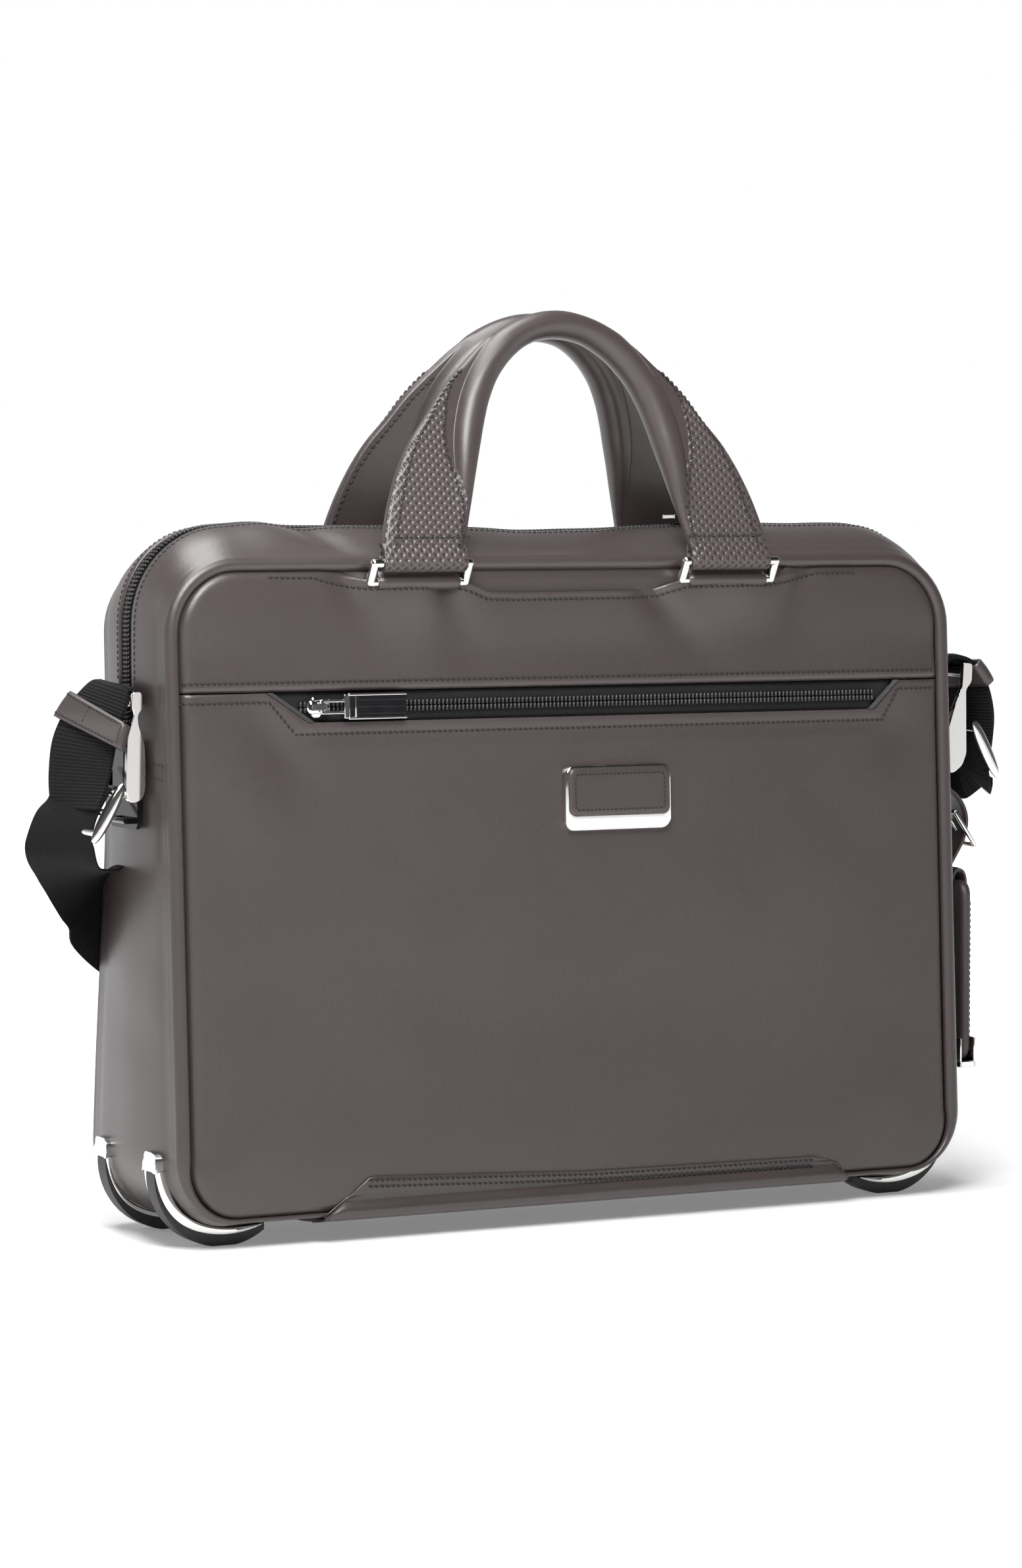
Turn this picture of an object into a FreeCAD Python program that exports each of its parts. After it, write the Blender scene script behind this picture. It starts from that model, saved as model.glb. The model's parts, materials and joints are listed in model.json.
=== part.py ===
"""Soft-sided leather laptop briefcase: body shell, folding front mouth, twin handles, shoulder strap,
luggage tag, zips and skid guards.  Millimetres, +X to the right, front at -Y, +Z up, origin on the
ground under the middle of the case."""
import FreeCAD
import Part
import Sketcher
import math
import os
from FreeCAD import Placement, Rotation, Vector

doc = FreeCAD.newDocument("laptop_briefcase")

# ------------------------------------------------------------------ driving dimensions
DRIVING = {
    "body_width": 400,        # outside width of the front panel
    "body_height": 290,       # front panel, measured up its slope
    "base_height": 12,        # front panel's lower edge above the ground
    "depth_bottom": 98,       # wedge: depth of the case at the bottom ...
    "depth_top": 68,          # ... and at the top of the panels
    "top_corner": 34,
    "bottom_corner": 28,
    "side_bulge": 3.5,        # how far the gusset swells at mid depth: sides,
    "crown": 14,              # top
    "belly": 2,               # and bottom
    "wall": 3.5,              # leather, foam and lining together
    "skin": 1.6,              # one layer of leather
    "welt_width": 6,
    "welt_height": 3.4,
    "seam_height": 231,       # seam between the front panel and the yoke, up the slope
    "fold_gap": 0.3,          # parting between the case and the folding mouth
    "zip_gap": 14,            # opening between the two gusset edges for the main zip
    "zip_end": 212,           # the main zip runs down the sides to this height
    "coil_width": 2.2,
    "pocket_zip_low": 217.4,  # lower edge of the pocket zip opening, up the slope
    "plate_width": 54.5,
    "plate_height": 29.5,
    "plate_proud": 5.5,
    "plate_centre": 180.3,
    "ring_centre": 79,        # handle rings: distance from the middle of the case
    "ring_width": 51,
    "ring_wire": 4.2,
    "ring_pitch": 9.6,        # between the ring's two bars
    "handle_rise": 108.9,     # ring bar to the middle of the grip
    "handle_lean": 12.6,      # both handles lean over the mouth
    "rear_shift": 8,          # the rear handle hangs this far to the right of the front one
    "wing_width": 42,
    "grip_width": 18,
    "grip_height": 14.4,
    "webbing": 38,
    "webbing_thick": 1.8,
    "strap_pivot": 200,       # height of the strap clip's pin
    "clip_lean_left": 0,
    "clip_lean_right": 12,
    "guard_width": 14,
    "guard_row": 27.5,        # guards stand this far in front of and behind the middle
    "guard_foot": 33,         # radius of the rubber foot
    "foot_centre": 171.5,
    "tag_width": 46,
    "tag_height": 76,
    "running_gap": 0.08,      # pin in bore, radial
}
sheet = doc.addObject("Spreadsheet::Sheet", "dims")
for row, (alias, value) in enumerate(DRIVING.items(), start=1):
    sheet.set("A%d" % row, alias)
    sheet.set("B%d" % row, str(value))
    sheet.setAlias("B%d" % row, alias)
doc.recompute()


def dim(alias):
    """Value of one driving dimension, read back from the sheet."""
    return float(sheet.get(alias))


NODES = []


def node(obj, label):
    """Name a finished sub-part; the label is also its file name."""
    obj.Label = label
    NODES.append(obj)
    return obj


# ------------------------------------------------------------------ frames of the two leaning faces
LEAN = math.degrees(math.atan((dim("depth_bottom") - dim("depth_top")) / 2 / dim("body_height")))
FRONT = Placement(Vector(0, -dim("depth_bottom") / 2, dim("base_height")),
                  Rotation(Vector(1, 0, 0), -LEAN))
BACK = Placement(Vector(0, 0, 0), Rotation(Vector(0, 0, 1), 180)).multiply(FRONT)
# In both frames X runs along the case, Z up the face and Y into the case.


# ------------------------------------------------------------------ PartDesign helpers
def new_body(label, frame=None):
    """A PartDesign body that stands in a face frame, or in the world when frame is None."""
    body = node(doc.addObject("PartDesign::Body", label), label)
    if frame is not None:
        body.Placement = frame
    return body


def new_sketch(body, role="XZ_Plane", shift=Vector(0, 0, 0)):
    """A sketch on one of the body's own origin planes, moved by shift in the plane's own axes."""
    sketch = body.newObject("Sketcher::SketchObject", "sketch")
    plane = [f for f in body.Origin.OriginFeatures if f.Role == role][0]
    sketch.AttachmentSupport = [(plane, "")]
    sketch.MapMode = "FlatFace"
    sketch.AttachmentOffset = Placement(shift, Rotation())
    return sketch


def draw(sketch, points):
    """Closed outline of straight lines."""
    first = sketch.GeometryCount
    count = len(points)
    for i in range(count):
        start, end = points[i], points[(i + 1) % count]
        sketch.addGeometry(Part.LineSegment(Vector(*start, 0), Vector(*end, 0)), False)
    for i in range(count):
        sketch.addConstraint(Sketcher.Constraint("Coincident", first + i, 2, first + (i + 1) % count, 1))


def draw_rectangle(sketch, width, height):
    """Rectangle centred on the sketch origin, its two sizes bound to sheet expressions."""
    first = sketch.GeometryCount
    draw(sketch, [(-10, -10), (10, -10), (10, 10), (-10, 10)])
    for i, kind in enumerate(["Horizontal", "Vertical", "Horizontal", "Vertical"]):
        sketch.addConstraint(Sketcher.Constraint(kind, first + i))
    sketch.addConstraint(Sketcher.Constraint("Symmetric", first, 1, first + 1, 2, -1, 1))
    for size_kind, ends, expression in (("DistanceX", (first, 1, first, 2), width),
                                        ("DistanceY", (first + 1, 1, first + 1, 2), height)):
        index = sketch.addConstraint(Sketcher.Constraint(size_kind, *ends, 20.0))
        sketch.setExpression("Constraints[%d]" % index, expression)


def rounded_edges(half, low, high, low_corner, high_corner):
    """Edges of a rounded rectangle in the XZ plane: straight sides joined by quarter circles."""
    diagonal = math.sqrt(0.5)
    edges = []
    corners = [(half - low_corner, low + low_corner, low_corner, -90),
               (half - high_corner, high - high_corner, high_corner, 0),
               (high_corner - half, high - high_corner, high_corner, 90),
               (low_corner - half, low + low_corner, low_corner, 180)]
    ends = []
    for x, z, radius, angle in corners:
        start = math.radians(angle)
        begin = Vector(x + radius * math.cos(start), 0, z + radius * math.sin(start))
        middle = Vector(x + radius * math.cos(start + math.pi / 4), 0,
                        z + radius * math.sin(start + math.pi / 4))
        end = Vector(x - radius * math.sin(start), 0, z + radius * math.cos(start))
        ends.append((begin, middle, end))
    for i, (begin, middle, end) in enumerate(ends):
        edges.append(Part.Arc(begin, middle, end))
        edges.append(Part.LineSegment(end, ends[(i + 1) % 4][0]))
    return edges


def draw_rounded(sketch, half, low, high, low_corner, high_corner):
    """The same rounded rectangle drawn into a sketch on the XZ plane."""
    for edge in rounded_edges(half, low, high, low_corner, high_corner):
        flat = edge.copy()
        flat.rotate(Placement(Vector(0, 0, 0), Rotation(Vector(1, 0, 0), -90)))
        sketch.addGeometry(flat, False)


def pad(body, sketch, length, inward=False):
    """Pad a sketch; on an XZ plane it grows out of the face unless inward is set."""
    feature = body.newObject("PartDesign::Pad", "pad")
    feature.Profile = sketch
    feature.setExpression("Length", length)
    feature.Reversed = inward
    doc.recompute()
    return feature


def pocket(body, sketch, inward=False):
    """Cut a sketch right through the body on one side of its plane."""
    before = body.Shape.Volume
    feature = body.newObject("PartDesign::Pocket", "pocket")
    feature.Profile = sketch
    feature.Type = "ThroughAll"
    feature.Reversed = inward
    doc.recompute()
    if body.Shape.Volume > before - 1:
        raise ValueError("pocket in %s cuts nothing" % body.Label)
    return feature


def fillet(body, chosen, radius):
    """Round the edges for which chosen(edge) holds; the radius is a sheet expression."""
    base = body.Tip
    names = ["Edge%d" % i for i, edge in enumerate(base.Shape.Edges, start=1) if chosen(edge)]
    feature = body.newObject("PartDesign::Fillet", "fillet")
    feature.Base = (base, names)
    feature.setExpression("Radius", radius)
    doc.recompute()
    return feature


def plain(label, shape, frame=None):
    """A sub-part whose shape is made with Part's own functions."""
    feature = node(doc.addObject("Part::Feature", label), label)
    feature.Shape = shape
    if frame is not None:
        feature.Placement = frame.multiply(feature.Placement)
    return feature


def block(low, high):
    """Box between two corners."""
    size = [b - a for a, b in zip(low, high)]
    return Part.makeBox(*size, Vector(*low))


def rod(start, direction, radius, length):
    return Part.makeCylinder(radius, length, Vector(*start), Vector(*direction))


def prism(points, depth, start):
    """Polygon in the XZ plane, extruded along +Y from y = start."""
    corners = [Vector(x, start, z) for x, z in points]
    return Part.Face(Part.makePolygon(corners + corners[:1])).extrude(Vector(0, depth, 0))


def ribbon(points, thick, width, middle):
    """Band of webbing or leather: a smooth line in the XZ plane with thickness, extruded along Y."""
    line = Part.BSplineCurve()
    line.interpolate([Vector(x, middle - width / 2, z) for x, z in points])
    sides = ([], [])
    steps = 4 * len(points)
    for i in range(steps + 1):
        at = line.FirstParameter + (line.LastParameter - line.FirstParameter) * i / steps
        along = line.tangent(at)[0]
        normal = Vector(along.z, 0, -along.x)
        sides[0].append(line.value(at) + normal * (thick / 2))
        sides[1].append(line.value(at) - normal * (thick / 2))
    curves = []
    for side in sides:
        curve = Part.BSplineCurve()
        curve.interpolate(side)
        curves.append(curve.toShape())
    ends = [Part.makeLine(sides[0][k], sides[1][k]) for k in (0, -1)]
    outline = Part.Wire([curves[0], ends[1], curves[1], ends[0]])
    return Part.Face(outline).extrude(Vector(0, width, 0))


# ------------------------------------------------------------------ gusset: lofted tube between the faces
width, height, wall, skin = dim("body_width"), dim("body_height"), dim("wall"), dim("skin")
gap = dim("zip_gap") / 2
fold_z = dim("base_height") + dim("seam_height") * math.cos(math.radians(LEAN))
mid_low = dim("base_height") - dim("belly")
mid_high = dim("base_height") + height * math.cos(math.radians(LEAN)) + dim("crown")
mid_half = width / 2 + dim("side_bulge")
mid_top_corner = dim("top_corner") + 8
mid_low_corner = dim("bottom_corner") + 4


def face_wire(inset, frame):
    wire = Part.Wire([e.toShape() for e in rounded_edges(
        width / 2 - inset, inset, height - inset, dim("bottom_corner") - inset, dim("top_corner") - inset)])
    wire.Placement = frame
    return wire


def mid_wire(inset):
    return Part.Wire([e.toShape() for e in rounded_edges(
        mid_half - inset, mid_low + inset, mid_high - inset, mid_low_corner - inset,
        mid_top_corner - inset)])


def section(name, wire):
    feature = doc.addObject("Part::Feature", name)
    feature.Shape = wire
    return feature


MIRROR_BACK = Placement(Vector(0, dim("depth_bottom") / 2, dim("base_height")),
                        Rotation(Vector(1, 0, 0), LEAN))


def gusset_loft(name, inset):
    """Smooth loft through the front outline, the swollen middle and the back outline."""
    loft = doc.addObject("Part::Loft", name)
    loft.Sections = [section(name + "_front", face_wire(inset, FRONT)),
                     section(name + "_middle", mid_wire(inset)),
                     section(name + "_back", face_wire(inset, MIRROR_BACK))]
    loft.Solid = True
    loft.Ruled = False
    return loft


outer = gusset_loft("outer_loft", 0)
inner = gusset_loft("inner_loft", wall)
shell = doc.addObject("Part::Cut", "gusset_shell")
shell.Base, shell.Tool = outer, inner
doc.recompute()

REACH = 260


def region(name, y_low, y_high, z_low, z_high):
    """Box across the whole width that picks a stretch of the gusset; its limits are expressions."""
    box = doc.addObject("Part::Box", name)
    box.Length = 2 * REACH
    box.Placement.Base.x = -REACH
    box.setExpression("Width", "(%s) - (%s)" % (y_high, y_low))
    box.setExpression("Height", "(%s) - (%s)" % (z_high, z_low))
    box.setExpression(".Placement.Base.y", y_low)
    box.setExpression(".Placement.Base.z", z_low)
    return box


def picked(label, boxes):
    """Stretch of the gusset inside a union of boxes."""
    picker = boxes[0]
    if len(boxes) > 1:
        picker = doc.addObject("Part::Fuse", label + "_region")
        picker.Base, picker.Tool = boxes
    piece = doc.addObject("Part::Common", label)
    piece.Base, piece.Tool = shell, picker
    return node(piece, label)


FOLD = "(dims.base_height + dims.seam_height * cos(%f deg))" % LEAN
HALF_ZIP = "dims.zip_gap / 2"
picked("lower_gusset", [region("below_zip", "-200", "200", "-20", "dims.zip_end"),
                        region("front_side", "-200", "-" + HALF_ZIP, "-20", FOLD + " - dims.fold_gap / 2")])
picked("rear_top_gusset", [region("behind_zip", HALF_ZIP, "200", "dims.zip_end", "500")])
picked("front_top_gusset", [region("before_zip", "-200", "-" + HALF_ZIP,
                                   FOLD + " + dims.fold_gap / 2", "500")])


def zip_band(deep_low, deep_high, y_low, y_high, z_low, z_high):
    """Band that follows the zip line over the crown, between two depths under the gusset's skin."""
    hoop = Part.Face(mid_wire(deep_high)).cut(Part.Face(mid_wire(deep_low)))
    band = hoop.extrude(Vector(0, y_high - y_low, 0))
    band.translate(Vector(0, y_low, 0))
    return band.common(block((-REACH, y_low - 1, z_low), (REACH, y_high + 1, z_high)))


TAPE_DEEP, COIL_TOP, COIL_GAP = 2.2, 0.2, 0.15
coil_out = COIL_GAP + dim("coil_width")
low_parting = fold_z - dim("fold_gap") / 2
high_parting = fold_z + dim("fold_gap") / 2
zip_end = dim("zip_end")
HIGH = 400


def zip_row(label, side, z_low, z_high):
    """Tape and coil of one side of the main zip (side -1 is the front)."""
    edges = sorted((side * gap, side * coil_out))
    teeth = sorted((side * coil_out, side * COIL_GAP))
    tape = zip_band(wall - 0.1, TAPE_DEEP, edges[0], edges[1], z_low, z_high)
    coil = zip_band(wall - 0.1, COIL_TOP, teeth[0], teeth[1], z_low, z_high)
    return tape, coil


front_tape, front_coil = zip_row("front", -1, high_parting, HIGH)
rear_tape, rear_coil = zip_row("rear", 1, zip_end, HIGH)
end_tape, end_coil = zip_row("ends", -1, zip_end, low_parting)
plain("front_zip_tape", front_tape)
plain("front_zip_coil", front_coil)
plain("rear_zip_tape", rear_tape)
plain("rear_zip_coil", rear_coil)
plain("zip_ends", end_tape.fuse(end_coil))

# ------------------------------------------------------------------ front and rear panels
PANEL_HALF = "(dims.body_width / 2 - dims.welt_width - 0.1)"
PANEL_LOW = "(dims.welt_width + 0.1)"
front_wall = new_body("front_wall", FRONT)
panel_low = dim("welt_width") + 0.1
panel_top = dim("seam_height") - dim("fold_gap") / 2
outline = new_sketch(front_wall, shift=Vector(0, (panel_low + panel_top) / 2, skin))
draw_rectangle(outline, "2 * " + PANEL_HALF,
               "dims.seam_height - dims.fold_gap / 2 - " + PANEL_LOW)
pad(front_wall, outline, "dims.wall", inward=True)
fillet(front_wall, lambda e: abs(e.Vertexes[0].Z - e.Vertexes[-1].Z) < 0.01
       and abs(e.Vertexes[0].X - e.Vertexes[-1].X) < 0.01 and e.Vertexes[0].Z < 20,
       "dims.bottom_corner - dims.welt_width")
ZIP_LOW = dim("pocket_zip_low")
ZIP_ENDS = [(-153.7, -133.6), (171.5, 156.8)]     # top and bottom X of the two slanted ends


def zip_window(inset):
    """Pocket zip opening: a shallow trapezoid under the yoke seam."""
    (left_top, left_low), (right_top, right_low) = ZIP_ENDS
    return [(left_low + inset, ZIP_LOW + inset), (right_low - inset, ZIP_LOW + inset),
            (right_top - 2 * inset, panel_top - inset), (left_top + 2 * inset, panel_top - inset)]


window = new_sketch(front_wall, shift=Vector(0, 0, skin))
low_left, low_right, top_right, top_left = zip_window(0)
draw(window, [low_left, low_right, top_right, (top_right[0], panel_top + 5),
              (top_left[0], panel_top + 5), top_left])
pocket(front_wall, window)

front_top_wall = new_body("front_top_wall", FRONT)
top_low = dim("seam_height") + dim("fold_gap") / 2
top_high = height - wall - 0.1
outline = new_sketch(front_top_wall, shift=Vector(0, (top_low + top_high) / 2, 0))
draw_rectangle(outline, "dims.body_width - 2 * dims.wall - 0.2",
               "dims.body_height - dims.wall - 0.1 - dims.seam_height - dims.fold_gap / 2")
pad(front_top_wall, outline, "dims.wall", inward=True)


def upright_corner(low, high):
    """Chooses edges that run straight through a panel, between two heights."""
    def chosen(edge):
        a, b = edge.Vertexes[0], edge.Vertexes[-1]
        through = abs(a.Z - b.Z) < 0.01 and abs(a.X - b.X) < 0.01
        return through and low < a.Z < high
    return chosen


fillet(front_top_wall, upright_corner(280, 300), "dims.top_corner - dims.wall")

rear_wall = new_body("rear_wall", BACK)
outline = new_sketch(rear_wall, shift=Vector(0, height / 2, 0))
draw_rectangle(outline, "dims.body_width - 2 * dims.wall - 0.2", "dims.body_height - 2 * dims.wall - 0.2")
pad(rear_wall, outline, "dims.wall", inward=True)
fillet(rear_wall, upright_corner(280, 300), "dims.top_corner - dims.wall")
fillet(rear_wall, upright_corner(0, 20), "dims.bottom_corner - dims.wall")

front_yoke = new_body("front_yoke", FRONT)
yoke_half = width / 2 - panel_low
yoke_top = height - panel_low
NOTCH = [(128, yoke_top), (110, 274.8), (48, 274.2)]   # the yoke's edge dips below the handle rings
outline = new_sketch(front_yoke)
draw(outline, [(-yoke_half, top_low), (yoke_half, top_low), (yoke_half, yoke_top)] + NOTCH
     + [(-x, z) for x, z in reversed(NOTCH)] + [(-yoke_half, yoke_top)])
pad(front_yoke, outline, "dims.skin")
fillet(front_yoke, lambda e: upright_corner(280, 300)(e) and abs(e.Vertexes[0].X) > 180,
       "dims.top_corner - dims.welt_width")

front_patch = new_body("front_base_patch", FRONT)
outline = new_sketch(front_patch, shift=Vector(0, 0, skin))
draw(outline, [(-129, panel_low), (-113, 13), (-108, 16.2), (0, 11.6), (118, 10.8), (129, panel_low)])
pad(front_patch, outline, "dims.skin")

rear_sleeve = new_body("rear_sleeve", BACK)      # lies flat on the rear wall, open above and below
SLEEVE_LOW, SLEEVE_HIGH = 34, 214
outline = new_sketch(rear_sleeve, shift=Vector(0, (SLEEVE_LOW + SLEEVE_HIGH) / 2, 0))
draw_rectangle(outline, "2 * " + PANEL_HALF, "%g" % (SLEEVE_HIGH - SLEEVE_LOW))
pad(rear_sleeve, outline, "1.5 * dims.skin")

# ------------------------------------------------------------------ rolled welts around both faces
def welt(label, frame, low, high, straight_low=False, straight_high=False):
    """Part of the rolled edge around a face, between two heights up the face."""
    body = new_body(label, frame)
    ring = new_sketch(body)
    draw_rounded(ring, width / 2, 0, height, dim("bottom_corner"), dim("top_corner"))
    inset = dim("welt_width")
    draw_rounded(ring, width / 2 - inset, inset, height - inset,
                 dim("bottom_corner") - inset, dim("top_corner") - inset)
    pad(body, ring, "dims.welt_height")
    for cut_low, cut_high in ((-10, low), (high, height + 10)):
        if cut_high - cut_low > 10.5:
            trim = new_sketch(body, shift=Vector(0, 0, -1))
            draw(trim, [(-REACH, cut_low), (REACH, cut_low), (REACH, cut_high), (-REACH, cut_high)])
            pocket(body, trim, inward=True)
    top = dim("welt_height")
    fillet(body, lambda e: all(abs(v.Y + top) < 0.01 for v in e.Vertexes)
           and not (len(e.Vertexes) == 2 and abs(e.Vertexes[0].Z - e.Vertexes[1].Z) < 0.01
                    and min(abs(e.Vertexes[0].Z - low), abs(e.Vertexes[0].Z - high)) < 0.01),
           "dims.welt_height * 0.7")
    return body


welt("front_welt", FRONT, 0, panel_top)
welt("front_top_welt", FRONT, top_low, height)
welt("rear_welt", BACK, 0, height)

# ------------------------------------------------------------------ name plate on the front
PLATE_X = 18.8
PLATE_RIM = 4.5
nameplate = new_body("nameplate_frame", FRONT)
outline = new_sketch(nameplate, shift=Vector(PLATE_X, dim("plate_centre"), skin))
draw_rectangle(outline, "dims.plate_width", "dims.plate_height")
pad(nameplate, outline, "dims.plate_proud")
fillet(nameplate, lambda e: upright_corner(0, 300)(e), "2")
plate_face = -skin - dim("plate_proud")
bevel_base = nameplate.Tip
bevel = nameplate.newObject("PartDesign::Chamfer", "bevel")
bevel.Base = (bevel_base, ["Edge%d" % i for i, e in enumerate(bevel_base.Shape.Edges, start=1)
                           if all(abs(v.Y - plate_face) < 0.01 for v in e.Vertexes)])
bevel.Size = 1.6
doc.recompute()
recess = new_sketch(nameplate, shift=Vector(PLATE_X, dim("plate_centre"), -plate_face))
draw_rectangle(recess, "dims.plate_width - %g" % (2 * PLATE_RIM),
               "dims.plate_height - %g" % (2 * PLATE_RIM))
sunk = nameplate.newObject("PartDesign::Pocket", "recess")
sunk.Profile = recess
sunk.Length = 2.4
doc.recompute()

inset = new_body("nameplate_inset", FRONT)
outline = new_sketch(inset, shift=Vector(PLATE_X, dim("plate_centre"), -plate_face - 2.4))
draw_rectangle(outline, "dims.plate_width - %g" % (2 * PLATE_RIM + 0.2),
               "dims.plate_height - %g" % (2 * PLATE_RIM + 0.2))
pad(inset, outline, "dims.skin")
fillet(inset, upright_corner(0, 300), "1")

# ------------------------------------------------------------------ pocket zip across the front
TAPE_FACE = 0.2                 # the tape lies this far behind the panel's base plane
COIL_TALL = 2.0                 # coil above the tape
zip_mid = ZIP_LOW + 6.7
COIL_ENDS = (-136.8, 158.2)
window_tape = prism(zip_window(0.1), 1.2, TAPE_FACE)
window_tape = window_tape.cut(block((-REACH, -5, zip_mid - coil_out), (REACH, 5, zip_mid + coil_out)))
plain("pocket_zip_tape", window_tape, FRONT)
rows = [block((COIL_ENDS[0], TAPE_FACE - COIL_TALL, low), (COIL_ENDS[1], TAPE_FACE + 1.2, high))
        for low, high in ((zip_mid - coil_out, zip_mid - COIL_GAP),
                          (zip_mid + COIL_GAP, zip_mid + coil_out))]
plain("pocket_zip_coil", Part.makeCompound(rows), FRONT)
trims = []
for top_x, low_x in ZIP_ENDS:
    lean_in = 2.8 if top_x < 0 else -2.8
    slope = (top_x - low_x) / (panel_top - ZIP_LOW)
    bar = [(low_x + 0.1 * slope, ZIP_LOW + 0.1), (low_x + lean_in, ZIP_LOW + 0.1),
           (top_x + lean_in - 0.1 * slope, panel_top - 0.1), (top_x - 0.1 * slope, panel_top - 0.1)]
    shy = 0.1 if top_x < 0 else -0.1
    bar = [(x + shy, z) for x, z in bar]
    trims.append(prism(bar, 2.9, -2.9 + TAPE_FACE - 0.1))
plain("pocket_zip_end_trims", Part.makeCompound(trims), FRONT)

# Sliders and pulls share one local frame: X along the zip, Z out of the tape, origin on the coil's
# centre line at the tape's face.  The pull's pin runs along Y through the bridge.
PIN_HIGH, PIN_R = 5.2, 0.75
PULL_WIDE = 11
POCKET_PULL, MAIN_PULL = 43, 33   # lengths of the two pulls


def slider_shape():
    """Saddle over the coil with a bridge that holds the pull's pin."""
    saddle = block((-5.4, -4.5, 0.2), (5.4, 4.5, 4.2))
    saddle = saddle.cut(block((-6, -2.6, 0), (6, 2.6, 2.25)))
    saddle = saddle.makeFillet(1.2, [e for e in saddle.Edges if abs(e.BoundBox.ZMin - 4.2) < 0.01])
    bridge = block((-3.6, -0.9, 3.9), (3.6, 0.9, 7.4)).cut(block((-2.2, -1, 4.2), (2.2, 1, 6.2)))
    return saddle.fuse(bridge).removeSplitter()


def pull_shape(length, slot):
    """Flat pull with a rectangular eye; slot leaves a recess for a ribbed insert."""
    eye = rod((0, -3.4, PIN_HIGH), (0, 1, 0), PIN_R, 6.8)
    for low in (-3.4, 1.9):
        eye = eye.fuse(block((0, low, PIN_HIGH - PIN_R), (11.5, low + 1.5, PIN_HIGH + PIN_R)))
    eye = eye.fuse(block((9.2, -3.4, PIN_HIGH - PIN_R), (11.5, 3.4, PIN_HIGH + PIN_R)))
    tab = block((11, -PULL_WIDE / 2, PIN_HIGH - 0.9), (length, PULL_WIDE / 2, PIN_HIGH + 0.9))
    tab = tab.makeFillet(2, [e for e in tab.Edges if abs(e.tangentAt(e.FirstParameter).z) > 0.99])
    if slot:
        tab = tab.cut(block((15.5, -3.6, PIN_HIGH + 0.2), (length - 3.5, 3.6, PIN_HIGH + 1)))
    return eye.fuse(tab).removeSplitter()


POCKET_ZIP = FRONT.multiply(Placement(Vector(-128, TAPE_FACE, zip_mid), Rotation(Vector(1, 0, 0), 90)))
plain("pocket_zip_slider", slider_shape(), POCKET_ZIP)
plain("pocket_zip_pull", pull_shape(POCKET_PULL, True), POCKET_ZIP)
plain("pocket_pull_insert", block((15.6, -3.5, PIN_HIGH + 0.2), (POCKET_PULL - 3.6, 3.5, PIN_HIGH + 1.2)),
      POCKET_ZIP)
MAIN_ZIP = Placement(Vector(103, 0, mid_high - TAPE_DEEP), Rotation(Vector(0, 0, 1), 180))
plain("main_zip_slider", slider_shape(), MAIN_ZIP)
plain("main_zip_pull", pull_shape(MAIN_PULL, False), MAIN_ZIP)

# ------------------------------------------------------------------ handles
wire_r = dim("ring_wire") / 2
bore_r = wire_r + dim("running_gap")
LOW_BAR = Vector(0, -3.4, 278.5)          # ring's lower bar, held by the leather tab
RING_LEAN = 32                    # the ring leans out over the welt by this angle
HIGH_BAR = LOW_BAR + Vector(0, -dim("ring_pitch") * math.sin(math.radians(RING_LEAN)),
                            dim("ring_pitch") * math.cos(math.radians(RING_LEAN)))
leg = dim("ring_width") / 2 - wire_r
centre = dim("ring_centre")
TAB_R = bore_r + 1.2
FOLD_R = bore_r + 2.1


def ring_shape(middle):
    """Rectangular wire ring: two bars and two legs with rounded corners."""
    shift = Vector(middle, 0, 0)
    ring = None
    for bar in (LOW_BAR, HIGH_BAR):
        piece = Part.makeCylinder(wire_r, 2 * leg, bar + shift - Vector(leg, 0, 0), Vector(1, 0, 0))
        ring = piece if ring is None else ring.fuse(piece)
    for side in (-leg, leg):
        foot = LOW_BAR + shift + Vector(side, 0, 0)
        rise = HIGH_BAR - LOW_BAR
        ring = ring.fuse(Part.makeCylinder(wire_r, rise.Length, foot, rise))
        for bar in (LOW_BAR, HIGH_BAR):
            ring = ring.fuse(Part.makeSphere(wire_r, bar + shift + Vector(side, 0, 0)))
    return ring


def tab_shape(middle):
    """Leather tab that wraps the ring's lower bar and is sewn to the panel above it."""
    half = dim("wing_width") / 2 - 1
    x = middle - half
    wrap = rod((x, LOW_BAR.y, LOW_BAR.z), (1, 0, 0), TAB_R, 2 * half)
    wrap = wrap.fuse(block((x, -1.2, LOW_BAR.z), (x + 2 * half, -0.02, LOW_BAR.z + 5.2)))
    return wrap.cut(rod((x - 1, LOW_BAR.y, LOW_BAR.z), (1, 0, 0), bore_r, 2 * half + 2))


# Half of the handle, from the ring upwards in the handle's own plane:
# distance from the middle, height above the ring bar, width across and thickness there.
HANDLE_LINE = [(77.5, 4.2, 42, 4.6), (76.5, 18, 42, 4.8), (70.5, 34, 39, 5.6), (60, 57, 29, 9),
               (46.5, 79, 20, 14), (26, 98, 16, 17.5)]


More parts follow.
